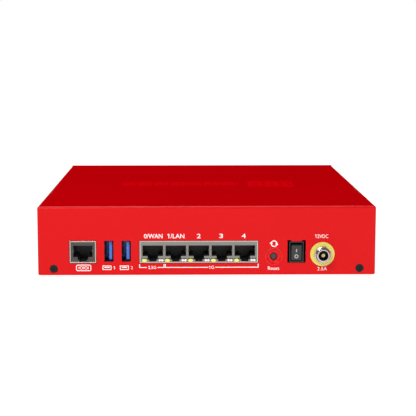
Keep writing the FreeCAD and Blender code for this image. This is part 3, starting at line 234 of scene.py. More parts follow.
# The same coat on the top: darker and without sheen as painted shade, so the top stays darker than the panel.
TOP_SHADE_COAT = Finish("Red satin powder coat, cured flat", "#b80005", "#c5000b", 0.45, spread=0.05, grain_mm=0.9,
                   relief_mm=0.02, cloud_mm=45, cloud=0.45, fixed={"IOR": 1.5, "Specular IOR Level": 0.0})
# The same coat over a raised pressing, where the spray lies a little thicker and glossier.
RAISED_COAT = Finish("Red powder coat on a pressing", "#cd0007", "#d6000d", 0.4, grain_mm=0.9, relief_mm=0.01,
                     fixed={"IOR": 1.5, "Specular IOR Level": 0.0})
# The same coat drawn thin and glossy over the rounded rim of a pressed dish.
RIM_COAT = Finish("Red powder coat on a rounded rim", "#cf0205", "#dd1116", 0.24, grain_mm=0.9,
                  relief_mm=0.005, fixed={"IOR": 1.5, "Specular IOR Level": 0.5})
# Screen-printed ink: a dry, slightly uneven white film.
PRINT_INK = Finish("White screen-printing ink", "#fbf3f1", "#f3e2e0", 0.6, grain_mm=0.4, relief_mm=0.004,
                   fixed={"IOR": 1.5})
# Pad-printed marks on the rocker: a thin grey-white film that the black shows through.
PAD_PRINT = Finish("Grey-white pad print", "#b9b9b9", "#a9a9a9", 0.55, grain_mm=0.4, relief_mm=0.003,
                   fixed={"IOR": 1.5})
# Injection-moulded ABS with a spark-eroded texture: soft broad highlights on a near-black surface.
MOULDED_BLACK = Finish("Black ABS, fine moulded texture", "#090808", "#100f0f", 0.42, grain_mm=0.35,
                       relief_mm=0.008, fixed={"IOR": 1.53})
# Polished polycarbonate, smoke black: sharp reflections on the front fascia.
FASCIA_BLACK = Finish("Smoked polycarbonate, polished", "#0c0c0e", "#131316", 0.12, spread=0.03, grain_mm=4,
                      relief_mm=0.002, fixed={"IOR": 1.585, "Coat Weight": 0.3})
# Clear acrylic light pipe: it passes light, with a faint moulding haze.
CLEAR_ACRYLIC = Finish("Clear acrylic light pipe", "#f1f5f4", "#e6eeec", 0.1, spread=0.03, grain_mm=2,
                       relief_mm=0.002, fixed={"IOR": 1.49, "Transmission Weight": 0.75})
# Vulcanised rubber: dull, dark grey and slightly dusty.
RUBBER = Finish("Vulcanised rubber", "#1d1d1d", "#2a2a29", 0.75, grain_mm=0.6, relief_mm=0.02,
                fixed={"IOR": 1.52})
# Black oxide on a steel screw: dark, oily and half metallic.
BLACK_OXIDE = Finish("Steel screw, black oxide", "#0e0d0d", "#201d1c", 0.22, spread=0.08, grain_mm=0.5,
                     relief_mm=0.01, fixed={"Metallic": 0.6})
# Green solder mask on glass-epoxy laminate.
SOLDER_MASK = BoardFinish("Green solder mask on laminate", "#0f4a2a", "#145a34", 0.35, grain_mm=3,
                          relief_mm=0.01, fixed={"IOR": 1.55})
# Turned brass, from a hex bar.
BRASS = Finish("Turned brass", "#b8944f", "#c9a763", 0.28, grain_mm=0.4, relief_mm=0.004,
               grain=Grain.BRUSHED_UP, fixed={"Metallic": 1.0})
# Zinc plate on small steel parts: bright and bluish, with a fine cloud.
ZINC_PLATE = Finish("Bright zinc plate", "#b4b8bc", "#9ca2a8", 0.3, grain_mm=0.8, relief_mm=0.004,
                    fixed={"Metallic": 1.0})
# Translucent polypropylene film.
FILM = Finish("Black polypropylene film", "#26262a", "#303036", 0.4, grain_mm=6, relief_mm=0.02,
              fixed={"IOR": 1.49})
# Tin-nickel plate on stamped phosphor bronze: a warm grey, brushed by the rolling of the strip.
JACK_PLATE = Finish("Nickel plate on stamped strip", "#96938d", "#7a7772", 0.36, spread=0.09, grain_mm=0.5,
                    relief_mm=0.006, grain=Grain.BRUSHED_ACROSS, cloud=0.3, cloud_mm=6,
                    fixed={"Metallic": 0.85})
# The same plate on the console jack's shield, whose face sits back: rougher, and darker as painted shade.
SHADED_JACK_FACE = Finish("Nickel plate, dulled by pressing", "#5f5b57", "#494642", 0.46, spread=0.08, grain_mm=0.5,
                   relief_mm=0.008, grain=Grain.BRUSHED_ACROSS, cloud=0.3, cloud_mm=6,
                   fixed={"Metallic": 0.85})
# The same plate on the rim in front of a shield's face: glossier, and paler as a painted highlight.
RIM_HIGHLIGHT_PLATE = Finish("Nickel plate, burnished edge", "#cfccc4", "#b3afa6", 0.26, spread=0.06, grain_mm=0.5,
                  relief_mm=0.004, grain=Grain.BRUSHED_ACROSS, cloud=0.3, cloud_mm=6,
                  fixed={"Metallic": 0.85})
# Deep-drawn can of a data socket: the same kind of plate, made nearly black as painted shade of its recess.
SHADED_SOCKET_CAN = Finish("Drawn steel, dark tin plate", "#34363c", "#26282d", 0.4, spread=0.08, grain_mm=0.5,
                    relief_mm=0.006, grain=Grain.BRUSHED_ALONG, fixed={"Metallic": 0.7})
# Glass-filled PBT of the jacks' inserts: matt black with faint flow marks.
PBT_BLACK = Finish("Black glass-filled PBT", "#141413", "#201f1e", 0.5, grain_mm=0.5, relief_mm=0.01,
                   fixed={"IOR": 1.57})
# Hard gold on contact springs.
GOLD = Finish("Hard gold plate", "#c9a24a", "#dcb866", 0.22, grain_mm=0.3, relief_mm=0.002,
              fixed={"Metallic": 1.0})
# Tinted epoxy lens of the link lamps, lit a little from inside.
LAMP_YELLOW = Finish("Yellow-green diffused epoxy", "#c2c655", "#dadf82", 0.25, grain_mm=1.2, relief_mm=0.004,
                     fixed={"IOR": 1.55, "Emission Color": linear("#c9cf63"), "Emission Strength": 0.22})
# Water-clear epoxy lens of the activity lamps, milky at its core.
LAMP_CLEAR = Finish("Clear diffused epoxy", "#e4dfda", "#efebe8", 0.16, grain_mm=1.2, relief_mm=0.004,
                    fixed={"IOR": 1.55, "Emission Color": linear("#f6f0ee"), "Emission Strength": 0.12})
# Blue PBT tongue of a fast data socket.
TONGUE_BLUE = Finish("Blue PBT", "#2b66cc", "#3f7ddc", 0.38, grain_mm=0.7, relief_mm=0.006,
                     fixed={"IOR": 1.57})
# Nylon of the rocker: a shade lighter than its housing, and smoother where fingers press.
ROCKER_NYLON = Finish("Charcoal nylon, satin", "#1c1b1b", "#232222", 0.34, grain_mm=0.5, relief_mm=0.005,
                      fixed={"IOR": 1.53})
# Reset button: charcoal nylon, matt.
BUTTON_NYLON = Finish("Charcoal nylon, matt", "#2b2726", "#3b3634", 0.5, grain_mm=0.6, relief_mm=0.012,
                      fixed={"IOR": 1.53})
# Bright nickel on turned brass: the sharpest reflections on the whole panel, slightly warm.
NICKEL = Finish("Bright nickel plate on brass", "#d9cfca", "#bdb1ac", 0.2, spread=0.05, grain_mm=0.5,
                relief_mm=0.003, fixed={"Metallic": 1.0})
# Centre contact: tin over brass, worn to a warm cream.
CONTACT_METAL = Finish("Tinned brass contact", "#cdbb92", "#b9a57a", 0.25, grain_mm=0.4, relief_mm=0.003,
                       fixed={"Metallic": 0.9})
# Dyed nylon washer: pale lemon, waxy.
WASHER_NYLON = Finish("Lemon nylon washer", "#d8cb58", "#dfd26a", 0.42, grain_mm=1.0, relief_mm=0.006,
                      fixed={"IOR": 1.53, "Subsurface Weight": 0.1, "Subsurface Scale": 0.001})
# Epoxy moulding compound of the chips: charcoal, laser-matt.
EPOXY_PACKAGE = Finish("Epoxy moulding compound", "#1a1b1c", "#242527", 0.55, grain_mm=0.4, relief_mm=0.006,
                       fixed={"IOR": 1.55})
# Silicone thermal pad: chalky grey, soft.
SILICONE_PAD = Finish("Grey silicone pad", "#8b8f92", "#a0a4a6", 0.8, grain_mm=0.5, relief_mm=0.02,
                      fixed={"IOR": 1.41})
# Anodised extrusion of the heat sink, with its draw lines along the fins.
ANODISED = Finish("Anodised aluminium extrusion", "#26282b", "#34373b", 0.38, grain_mm=0.4, relief_mm=0.006,
                  grain=Grain.BRUSHED_ALONG, fixed={"Metallic": 0.7})
# Pressed ferrite of the power inductors.
FERRITE = Finish("Pressed ferrite", "#3a3a3c", "#4a4a4c", 0.7, grain_mm=0.3, relief_mm=0.01,
                 fixed={"IOR": 1.6})
# Aluminium can of an electrolytic capacitor in a printed sleeve.
CAN = Finish("Drawn aluminium can", "#a9adb1", "#8d9196", 0.3, grain_mm=0.6, relief_mm=0.003,
             grain=Grain.BRUSHED_UP, fixed={"Metallic": 1.0})
# Ceramic body of a surface-mount light emitter.
EMITTER = Finish("White ceramic emitter", "#efeee6", "#e2e0d4", 0.5, grain_mm=0.5, relief_mm=0.002,
                 fixed={"IOR": 1.6})

SLOT_FINISHES: dict[str, Finish] = {
    "red_powder_coat": POWDER_COAT, "fascia_plastic": FASCIA_BLACK, "clear_plastic": CLEAR_ACRYLIC,
    "rubber": RUBBER, "black_screw": BLACK_OXIDE, "circuit_board": SOLDER_MASK, "brass_standoff": BRASS,
    "plated_steel": ZINC_PLATE, "insulating_film": FILM, "jack_metal": JACK_PLATE, "black_plastic": PBT_BLACK,
    "gold_contact": GOLD, "lamp_yellow": LAMP_YELLOW, "lamp_clear": LAMP_CLEAR, "tongue_blue": TONGUE_BLUE,
    "button_plastic": BUTTON_NYLON, "switch_plastic": MOULDED_BLACK, "rocker_plastic": ROCKER_NYLON,
    "nickel_plate": NICKEL, "contact_nickel": CONTACT_METAL, "yellow_washer": WASHER_NYLON,
    "chip_package": EPOXY_PACKAGE, "thermal_pad": SILICONE_PAD, "heat_sink_aluminium": ANODISED,
    "ferrite": FERRITE, "capacitor_can": CAN, "emitter_white": EMITTER,
}
NODE_SLOTS: dict[str, str] = {part["node"]: part["material_slot"] for part in frame["record"]["subparts"]}
MOUNTS: dict[str, Vector] = {mount["name"]: Vector(mount["pos_m"]) for mount in frame["record"]["mounts"]}


# ---- Modelling ---------------------------------------------------------------------------------
def choose(*pieces: Piece) -> None:
    """Selects these objects and nothing else, the first one active."""
    bpy.ops.object.select_all(action="DESELECT")
    for piece in pieces:
        piece.select_set(True)
    bpy.context.view_layer.objects.active = pieces[0]


def settle(piece: Piece, name: str) -> Piece:
    """Names a piece and moves its place, turn and scale into its mesh."""
    choose(piece)
    bpy.ops.object.transform_apply(location=True, rotation=True, scale=True)
    piece.name = piece.data.name = name
    return piece


def block(name: str, low: Point, high: Point) -> Piece:
    """A cuboid between two corners, to be shaped further.

    Args:
        name: the object's name.
        low: its lowest corner, in metres.
        high: its highest corner, in metres.

    Returns:
        The new object.
    """
    bpy.ops.object.select_all(action="DESELECT")
    low_corner, high_corner = Vector(low), Vector(high)
    bpy.ops.mesh.primitive_cube_add(size=1, location=(low_corner + high_corner) / 2)
    piece = bpy.context.object
    piece.scale = high_corner - low_corner
    return settle(piece, name)


def rod(name: str, centre: Point, radius: float, length: float, sides: int = 48, turn: float = 0.0) -> Piece:
    """A cylinder along Y, to be shaped further.

    Args:
        name: the object's name.
        centre: its middle, in metres.
        radius: its radius, in metres.
        length: its length along Y, in metres.
        sides: how many sides it has; six give a hexagon with a corner straight up.
        turn: how far it is turned from there, clockwise as seen from -Y, in radians.

    Returns:
        The new object.
    """
    bpy.ops.object.select_all(action="DESELECT")
    bpy.ops.mesh.primitive_cylinder_add(vertices=sides, radius=radius, depth=length, location=centre,
                                        rotation=(RIGHT_ANGLE, turn, 0))
    return settle(bpy.context.object, name)


@contextmanager
def editing(piece: Piece) -> Iterator[None]:
    """Opens a piece in edit mode with nothing selected, and closes it again."""
    choose(piece)
    bpy.ops.object.mode_set(mode="EDIT")
    bpy.ops.mesh.select_mode(type="VERT")
    bpy.ops.mesh.select_all(action="DESELECT")
    yield
    bpy.ops.object.mode_set(mode="OBJECT")


def pick(piece: Piece, kind: str, test: Callable[[object], bool]) -> None:
    """Selects those parts of a mesh in edit mode that pass a test, and nothing else.

    Args:
        piece: the object in edit mode.
        kind: verts, edges or faces.
        test: says whether a vertex, edge or face is wanted.
    """
    bpy.ops.mesh.select_mode(type={"verts": "VERT", "edges": "EDGE", "faces": "FACE"}[kind])
    bpy.ops.mesh.select_all(action="DESELECT")
    mesh = bmesh.from_edit_mesh(piece.data)
    for part in getattr(mesh, kind):
        if test(part):
            part.select_set(True)
    mesh.select_flush_mode()
    bmesh.update_edit_mesh(piece.data)


def edge_middle(edge: object) -> Vector:
    """The point half-way along an edge."""
    return (edge.verts[0].co + edge.verts[1].co) / 2


def edge_way(edge: object) -> Vector:
    """An edge's direction, of length one."""
    return (edge.verts[1].co - edge.verts[0].co).normalized()


def bevel(piece: Piece, test: Callable[[object], bool], width: float, segments: int = 2) -> Piece:
    """Rounds those edges of a piece that pass a test.

    Args:
        piece: the object.
        test: says whether an edge is wanted.
        width: the rounding's width, in metres.
        segments: how many steps it has.

    Returns:
        The same object.
    """
    with editing(piece):
        pick(piece, "edges", test)
        bpy.ops.mesh.bevel(offset=width, offset_type="OFFSET", segments=segments, affect="EDGES")
    return piece


def apply_modifier(piece: Piece, kind: str, **settings: object) -> Piece:
    """Adds a modifier with these settings and applies it."""
    choose(piece)
    modifier = piece.modifiers.new(kind.title(), kind)
    for name, value in settings.items():
        setattr(modifier, name, value)
    bpy.ops.object.modifier_apply(modifier=modifier.name)
    return piece


def face_outwards(piece: Piece) -> Piece:
    """Merges a closed mesh's doubled points and turns its faces outwards."""
    with editing(piece):
        bpy.ops.mesh.select_all(action="SELECT")
        bpy.ops.mesh.remove_doubles(threshold=0.001 * MM)
        bpy.ops.mesh.normals_make_consistent(inside=False)
    return piece


def smooth(piece: Piece, degrees: float = 35) -> Piece:
    """Shades a piece smooth, with flat faces kept flat and edges steeper than an angle kept sharp."""
    choose(piece)
    bpy.ops.object.shade_smooth_by_angle(angle=math.radians(degrees))
    return apply_modifier(piece, "WEIGHTED_NORMAL", keep_sharp=True)


def joined(name: str, pieces: Sequence[Piece]) -> Piece:
    """Several pieces as one object, named anew."""
    choose(*pieces)
    if len(pieces) > 1:
        bpy.ops.object.join()
    return settle(bpy.context.object, name)


def copied(piece: Piece, name: str, shift: Point, mirrored: bool = False) -> Piece:
    """A copy of a piece with its own mesh.

    Args:
        piece: the object to copy.
        name: the copy's name.
        shift: how far the copy is moved, in metres.
        mirrored: whether it is turned over in X about the origin before it is moved.

    Returns:
        The copy.
    """
    copy = piece.copy()
    copy.data = piece.data.copy()
    bpy.context.scene.collection.objects.link(copy)
    if mirrored:
        copy.scale = (-1, 1, 1)
    copy.location = shift
    settle(copy, name)
    return face_outwards(copy) if mirrored else copy


def turned(name: str, centre: Point, profile: Sequence[tuple[float, float]], steps: int = 64) -> Piece:
    """A piece turned on a lathe about the Y axis through a centre.

    Args:
        name: the object's name.
        centre: a point on the axis, in metres.
        profile: its half section as radius and distance behind the centre, in millimetres; it either starts
            and ends on the axis or comes back to its first point.
        steps: how many facets it has round its axis.

    Returns:
        The new object.
    """
    points = [Vector(centre) + Vector((radius * MM, back * MM, 0)) for radius, back in profile]
    bpy.ops.object.select_all(action="DESELECT")
    bpy.ops.mesh.primitive_plane_add(size=MM, location=points[0])
    piece = settle(bpy.context.object, name)
    with editing(piece):
        bpy.ops.mesh.select_all(action="SELECT")
        bpy.ops.mesh.merge(type="CENTER")
        for start, end in zip(points, points[1:]):
            bpy.ops.mesh.extrude_region_move(TRANSFORM_OT_translate={"value": end - start})
        bpy.ops.mesh.select_all(action="SELECT")
        bpy.ops.mesh.spin(steps=steps, angle=2 * math.pi, center=centre, axis=(0, 1, 0))
    return smooth(face_outwards(piece))


def ball(name: str, centre: Point, half_mm: Point, segments: int, rings: int) -> Piece:
    """A ball stretched along X, Y and Z, to be shaped further.

    Args:
        name: the object's name.
        centre: its middle, in metres.
        half_mm: half its size along X, Y and Z.
        segments: how many sides it has round Z.
        rings: how many bands it has from pole to pole.

    Returns:
        The new object.
    """
    bpy.ops.object.select_all(action="DESELECT")
    bpy.ops.mesh.primitive_uv_sphere_add(segments=segments, ring_count=rings, radius=1, location=centre)
    piece = bpy.context.object
    piece.scale = [size * MM for size in half_mm]
    return settle(piece, name)


def leaf_spring(name: str, centre: Point, half_mm: Point, wall: float, side: int, segments: int,
                rings: int) -> Piece:
    """A bowed leaf spring: a stretched ball, cut off at the wall that it stands on.

    Args:
        name: the object's name.
        centre: the ball's middle, in metres.
        half_mm: half the ball's size along X, Y and Z.
        wall: where the wall is along X, in metres.
        side: 1 if the wall is to the right of the spring and -1 if it is to the left.
        segments: how many sides the ball has round Z.
        rings: how many bands it has from pole to pole.

    Returns:
        The new object.
    """
    leaf = ball(name, centre, half_mm, segments, rings)
    with editing(leaf):
        bpy.ops.mesh.select_all(action="SELECT")
        bpy.ops.mesh.bisect(plane_co=(wall, 0, 0), plane_no=(side, 0, 0), use_fill=True, clear_outer=True)
    return smooth(face_outwards(leaf))


def softened(node: str, name: str, width_mm: float, segments: int = 2) -> Piece:
    """A copy of a CAD node with its hard edges rounded, which stands for the node.

    Args:
        node: the CAD node.
        name: the new piece's name.
        width_mm: width of the rounding, in millimetres.
        segments: how many steps it has.

    Returns:
        The rounded copy.
    """
    piece = copied(frame["nodes"][node], name, (0, 0, 0))
    piece.parent = None
    for key in list(piece.keys()):
        del piece[key]
    with editing(piece):
        bpy.ops.mesh.select_all(action="SELECT")
        bpy.ops.mesh.remove_doubles(threshold=0.002 * MM)
        bpy.ops.mesh.tris_convert_to_quads(face_threshold=math.radians(1), shape_threshold=math.pi)
    apply_modifier(piece, "BEVEL", width=width_mm * MM, segments=segments, limit_method="ANGLE",
                   angle_limit=math.radians(SOFTENED_FROM), use_clamp_overlap=True, miter_outer="MITER_ARC")
    return smooth(piece)


def dress(piece: Piece, finish: Finish) -> Piece:
    """Gives a piece one finish all over."""
    material = finish.make()
    if not piece.material_slots:
        piece.data.materials.append(material)
    for slot in piece.material_slots:
        slot.material = material
    return piece


def fit(piece: Piece, body: Body, slot: str, finish: Finish | None = None,
        nodes: Sequence[str] = ()) -> Piece:
    """Dresses a finished piece, lets it ride its body and reports it.

    Args:
        piece: the finished object.
        body: the body it moves with.
        slot: the record's material slot that it belongs to.
        finish: its finish, if not the slot's own.
        nodes: the CAD nodes that it stands for.

    Returns:
        The same object.
    """
    dress(piece, finish or SLOT_FINISHES[slot])
    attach(piece, body.value)
    if nodes:
        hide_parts(*nodes)
    LOG.info("%s: %d faces on %s", piece.name, len(piece.data.polygons), body.value)
    return piece


def stand_in(node: str, name: str, width_mm: float, finish: Finish | None = None, body: Body = Body.CASE,
             segments: int = 2) -> Piece:
    """Rounds the edges of a CAD node and fits the result in its place and in its own material slot.

    Args:
        node: the CAD node.
        name: the new piece's name.
        width_mm: width of the rounding, in millimetres.
        finish: its finish, if not the slot's own.
        body: the body it moves with.
        segments: how many steps the rounding has.

    Returns:
        The rounded copy.
    """
    return fit(softened(node, name, width_mm, segments), body, NODE_SLOTS[node], finish, [node])


def repaint(piece: Piece, finish: Finish, test: Callable[[object], bool]) -> None:
    """Gives those faces of a piece that pass a test a finish of their own."""
    piece.data.materials.append(finish.make())
    for face in piece.data.polygons:
        if test(face):
            face.material_index = len(piece.data.materials) - 1


# ---- Printing ----------------------------------------------------------------------------------
@dataclass
class Print:
    """Ink printed on a flat face that looks towards -Y, before it is turned onto its surface.

    Attributes:
        face_y: where the surface is, in metres.
        film_mm: thickness of the ink.
    """

    face_y: float
    film_mm: float = 0.05

    def flat(self, name: str, one: Point, other: Point, thin_mm: float = 0.0) -> Piece:
        """A printed bar with softened corners.

        Args:
            name: the object's name.
            one: a corner, as X and Z in metres.
            other: the corner across from it.
            thin_mm: how much thinner than the rest its film is, where it runs under another stroke.

        Returns:
            The printed bar.
        """
        back = self.face_y + 0.2 * self.film_mm * MM
        front = back - (self.film_mm - thin_mm) * MM
        (left, right), (under, over) = sorted((one[0], other[0])), sorted((one[1], other[1]))
        bar = block(name, (left, front, under), (right, back, over))
        narrow = min(right - left, over - under)
        return bevel(bar, lambda edge: abs(edge_way(edge).y) > ALONG, narrow * 0.2, 2)

    def words(self, name: str, text: str, centre: Point, size: Point, weight: float = 0.0,
              facing_front: bool = False) -> Piece:
        """Printed words that fill a width and a height exactly.

        Args:
            name: the object's name.
            text: what they say.
            centre: their middle, as X and Z in metres.
            size: their width and height, in millimetres.
            weight: how much the strokes are thickened, as a share of the letters' size.
            facing_front: whether they are read from +Y.

        Returns:
            The printed piece.
        """
        bpy.ops.object.select_all(action="DESELECT")
        bpy.ops.object.text_add(location=(0, 0, 0))
        words = bpy.context.object
        words.data.body = text
        words.data.extrude = 0.5
        words.data.offset = weight
        words.data.resolution_u = 4
        bpy.ops.object.convert(target="MESH")
        words = bpy.context.object
        corners = [vertex.co.copy() for vertex in words.data.vertices]
        low = Vector([min(corner[axis] for corner in corners) for axis in range(3)])
        high = Vector([max(corner[axis] for corner in corners) for axis in range(3)])
        words.data.transform(Matrix.Translation(-(low + high) / 2))
        words.scale = (size[0] * MM / (high.x - low.x), size[1] * MM / (high.y - low.y), self.film_mm * MM)
        words.rotation_euler = (RIGHT_ANGLE, 0, math.pi if facing_front else 0)
        outwards = 1 if facing_front else -1
        words.location = (centre[0], self.face_y + outwards * 0.3 * self.film_mm * MM, centre[1])
        settle(words, name)
        with editing(words):
            bpy.ops.mesh.select_all(action="SELECT")
            bpy.ops.mesh.remove_doubles(threshold=0.0005 * MM)
        return words

    def arc(self, name: str, centre: Point, outer_mm: float, inner_mm: float, start: float,
            end: float) -> Piece:
        """A printed part of a ring.

        Args:
            name: the object's name.
            centre: the ring's middle, as X and Z in metres.
            outer_mm: its outer radius.
            inner_mm: its inner radius.
            start: the angle it starts at, in degrees from +X towards +Z.
            end: the angle it ends at.

        Returns:
            The printed piece.
        """
        steps = max(8, round((end - start) / 6))
        first, turn = math.radians(start), math.radians(end - start)
        bpy.ops.object.select_all(action="DESELECT")
        middle = Vector((0, 0, 0))
        bpy.ops.mesh.primitive_plane_add(size=MM, location=middle)
        band = settle(bpy.context.object, name)
        way = Vector((math.cos(first), 0, math.sin(first)))
        with editing(band):
            bpy.ops.mesh.select_all(action="SELECT")
            bpy.ops.mesh.merge(type="CENTER")
            bpy.ops.transform.translate(value=way * inner_mm * MM)
            reach = way * (outer_mm - inner_mm) * MM
            bpy.ops.mesh.extrude_region_move(TRANSFORM_OT_translate={"value": reach})
            bpy.ops.mesh.select_all(action="SELECT")
            bpy.ops.mesh.spin(steps=steps, angle=turn, center=middle, axis=(0, 1, 0))
            bpy.ops.mesh.select_all(action="SELECT")
            bpy.ops.mesh.remove_doubles(threshold=0.001 * MM)
            bpy.ops.mesh.extrude_region_move(TRANSFORM_OT_translate={"value": (0, -self.film_mm * MM, 0)})
            bpy.ops.mesh.select_all(action="SELECT")
            bpy.ops.mesh.normals_make_consistent(inside=False)
        band.location = (centre[0], self.face_y + 0.2 * self.film_mm * MM, centre[1])
        return settle(band, name)

    def wedge(self, name: str, centre: Point, radius_mm: float, angle: float) -> Piece:
        """A printed arrowhead whose tip points at an angle, in degrees from +X towards +Z."""
        bpy.ops.object.select_all(action="DESELECT")
        bpy.ops.mesh.primitive_cylinder_add(vertices=3, radius=radius_mm * MM, depth=self.film_mm * MM,
                                            location=(0, 0, 0))
        head = settle(bpy.context.object, name)
        bevel(head, lambda edge: abs(edge_way(edge).z) > ALONG, 0.12 * radius_mm * MM, 2)
        head.rotation_euler = (RIGHT_ANGLE, RIGHT_ANGLE - math.radians(angle), 0)
        head.location = (centre[0], self.face_y - 0.2 * self.film_mm * MM, centre[1])
        return settle(head, name)

    def flag(self, name: str, left: float, top: float, height_mm: float) -> Piece:
        """The slanted stroke at the top left of a digit one.

        Args:
            name: the object's name.
            left: the stem's left side, in metres.
            top: the stem's top, in metres.
            height_mm: height of the digit.

        Returns:
            The printed stroke.
        """
        reach, half = 0.3 * height_mm * MM, 0.075 * height_mm * MM
        stroke = self.flat(name, (-reach, -half), (half, half), 0.01)
        stroke.rotation_euler.y = -math.radians(38)
        stroke.location = (left, 0, top - 1.1 * half)
        return settle(stroke, name)


@dataclass
class PanelLegends:
    """White printing on the connector panel: generic words, numbers and plain socket marks.

    Attributes:
        rise_mm: middle of the port labels above the jacks.
        capital_mm: height of the port labels.
        label_widths: widths of the port labels.
        label_shifts: each port label from the middle of its port.
        stroke_mm: width of a printed line.
        line_drop_mm: speed line below the jacks' underside.
        tick_mm: height of the ticks at the ends of a speed line.
        gap_mm: space between a speed and its line.
        speed_mm: height of a speed's figures.
        under_mm: how much thinner a bar's film is where it runs under another stroke.
        console_mm: middle of the console jack's mark to the right of the jack and above the case's underside.
        frame_mm: half width, half height, corner radius and stroke of the console jack's mark, and how far
            its bars run under its corners.
        socket_mm: left, right, half height and stroke of a data socket's mark, from its socket's middle.
        socket_rise_mm: middle of that mark above the case's underside.
        arrows_mm: outer and inner radius of the reset mark's ring, and size of its arrowheads.
        arrows_rise_mm: middle of that ring above the case's underside.
        arrows_turn: where on the ring each arrow's tip is, in degrees from +X towards +Z.
    """

    rise_mm: float = 3.1
    capital_mm: float = 2.75
    label_widths: tuple[float, ...] = (11.2, 9.6, 2.3, 2.3, 2.5)
    label_shifts: tuple[float, ...] = (0.35, 0.4, -0.05, -0.5, -0.8)
    stroke_mm: float = 0.5
    line_drop_mm: float = 2.8
    tick_mm: float = 2.1
    gap_mm: float = 0.8
    speed_mm: float = 1.85
    under_mm: float = 0.01
    console_mm: tuple[float, float] = (0.45, 4.45)
    frame_mm: tuple[float, ...] = (4.6, 2.0, 1.1, 0.5, 0.12)
    socket_mm: tuple[float, ...] = (-3.9, 1.5, 1.35, 0.45)
    socket_rise_mm: float = 4.5
    arrows_mm: tuple[float, float, float] = (2.02, 1.38, 1.1)
    arrows_rise_mm: float = 19.1
    arrows_turn: tuple[float, float] = (-18, 162)
    printer: Print = field(init=False)

    def __post_init__(self) -> None:
        """Finds the panel and the connectors in the CAD model."""
        low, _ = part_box("cover_shell")
        self.printer = Print(low.y)
        self.base = low.z
        self.ports = [MOUNTS[f"port_{number}"].x for number in range(5)]
        block_low, block_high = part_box("port_block_shield")
        self.block_left, self.block_right = block_low.x, block_high.x
        self.block_low, self.block_top = block_low.z, block_high.z

    def label(self, name: str, text: str, centre: Point, size: Point, weight: float = 0.0) -> Piece:
        """Printed words; a one that leads them gets the flag that the font leaves out."""
        words = self.printer.words(name, text, centre, size, weight)
        if not text.startswith("1"):
            return words
        left, top = centre[0] - size[0] / 2 * MM, centre[1] + size[1] / 2 * MM
        return joined(name, [words, self.printer.flag("flag", left, top, size[1])])

    def port_labels(self) -> list[Piece]:
        """The labels over the ports."""
        texts = ("0/WAN", "1/LAN", "2", "3", "4")
        height = self.block_top + self.rise_mm * MM
        places = zip(texts, self.ports, self.label_shifts, self.label_widths)
        return [self.label(f"label_port_{number}", text, (x + shift * MM, height), (width, self.capital_mm),
                           weight=0.012)
                for number, (text, x, shift, width) in enumerate(places)]

    def speed_line(self, name: str, text: str, left: float, right: float, middle: float,
                   width: float) -> Piece:
        """A bracket under some ports with a speed in its gap.

        Args:
            name: the object's name.
            text: the speed.
            left: the bracket's left end, in metres.
            right: its right end.
            middle: the middle of the text.
            width: the text's width, in millimetres.

        Returns:
            The printed bracket.
        """
        half = self.stroke_mm / 2 * MM
        height = self.block_low - self.line_drop_mm * MM
        gap = (width / 2 + self.gap_mm) * MM
        top = height + self.tick_mm * MM
        spans = ((left, middle - gap, height - half, height + half, 0.0),
                 (middle + gap, right, height - half, height + half, 0.0),
                 (left, left + 2 * half, height, top, self.under_mm),
                 (right - 2 * half, right, height, top, self.under_mm))
        bars = [self.printer.flat(f"{name}_bar", (x0, z0), (x1, z1), thin) for x0, x1, z0, z1, thin in spans]
        words = self.label(f"{name}_text", text, (middle, height), (width, self.speed_mm), 0.01)
        return joined(name, bars + [words])

    def console_mark(self) -> Piece:
        """A rounded frame with a plain pattern of bits, under the console jack."""
        right, rise = self.console_mm
        x, z = MOUNTS["console_jack"].x + right * MM, self.base + rise * MM
        half_width, half_height, radius, stroke, overlap = self.frame_mm
        pieces = []
        for side in (-1, 1):
            for up in (-1, 1):
                corner = (x + side * (half_width - radius) * MM, z + up * (half_height - radius) * MM)
                start = {(1, 1): 0, (-1, 1): 90, (-1, -1): 180, (1, -1): 270}[(side, up)]
                pieces.append(self.printer.arc("corner", corner, radius, radius - stroke, start, start + 90))
            across, along = half_width * MM, (half_height - radius + overlap) * MM
            pieces.append(self.printer.flat("bar", (x + side * across, z - along),
                                            (x + side * (across - stroke * MM), z + along), self.under_mm))
            reach, over = (half_width - radius + overlap) * MM, half_height * MM
            pieces.append(self.printer.flat("bar", (x - reach, z + side * over),
                                            (x + reach, z + side * (over - stroke * MM)), self.under_mm))
        pieces.append(self.printer.words("bits", "IOIOI", (x, z), (6.0, 1.9), 0.012))
        return joined("mark_console", pieces)

    def socket_mark(self, number: int, node: str) -> Piece:
        """A plain outline of a data socket with its number, under the socket."""
        low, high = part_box(node)
        x, z = (low.x + high.x) / 2, self.base + self.socket_rise_mm * MM
        start, end, half, stroke = (size * MM for size in self.socket_mm)
        left, right, under, over = x + start, x + end, z - half, z + half
        bars = [self.printer.flat("bar", *ends) for ends in (
            ((left, under), (right, under + stroke)), ((left, over - stroke), (right, over)),
            ((left, under), (left + stroke, over), self.under_mm),
            ((right - stroke, under), (right, over), self.under_mm),
            ((left + 1.1 * MM, z - 0.1 * MM), (right - 1.1 * MM, z + 0.55 * MM)))]
        width = 0.35 if number == 1 else 1.1
        digit = self.label("digit", str(number), (x + 3.4 * MM, z), (width, 1.8), 0.005)
        return joined(f"mark_socket_{number}", bars + [digit])

    def reset_mark(self) -> Piece:
        """Two arrows that chase each other round a ring, over the reset button."""
        low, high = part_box("reset_button")
        centre = ((low.x + high.x) / 2 + 0.1 * MM, self.base + self.arrows_rise_mm * MM)
        outer, inner, size = self.arrows_mm
        middle = (outer + inner) / 2 * MM
        pieces = []
        for turn in self.arrows_turn:
            pieces.append(self.printer.arc("arc", centre, outer, inner, turn + 11, turn + 146))
            angle = math.radians(turn)
            head = (centre[0] + middle * math.cos(angle), centre[1] + middle * math.sin(angle))
            pieces.append(self.printer.wedge("head", head, size, turn - 90))
        return joined("mark_reset", pieces)

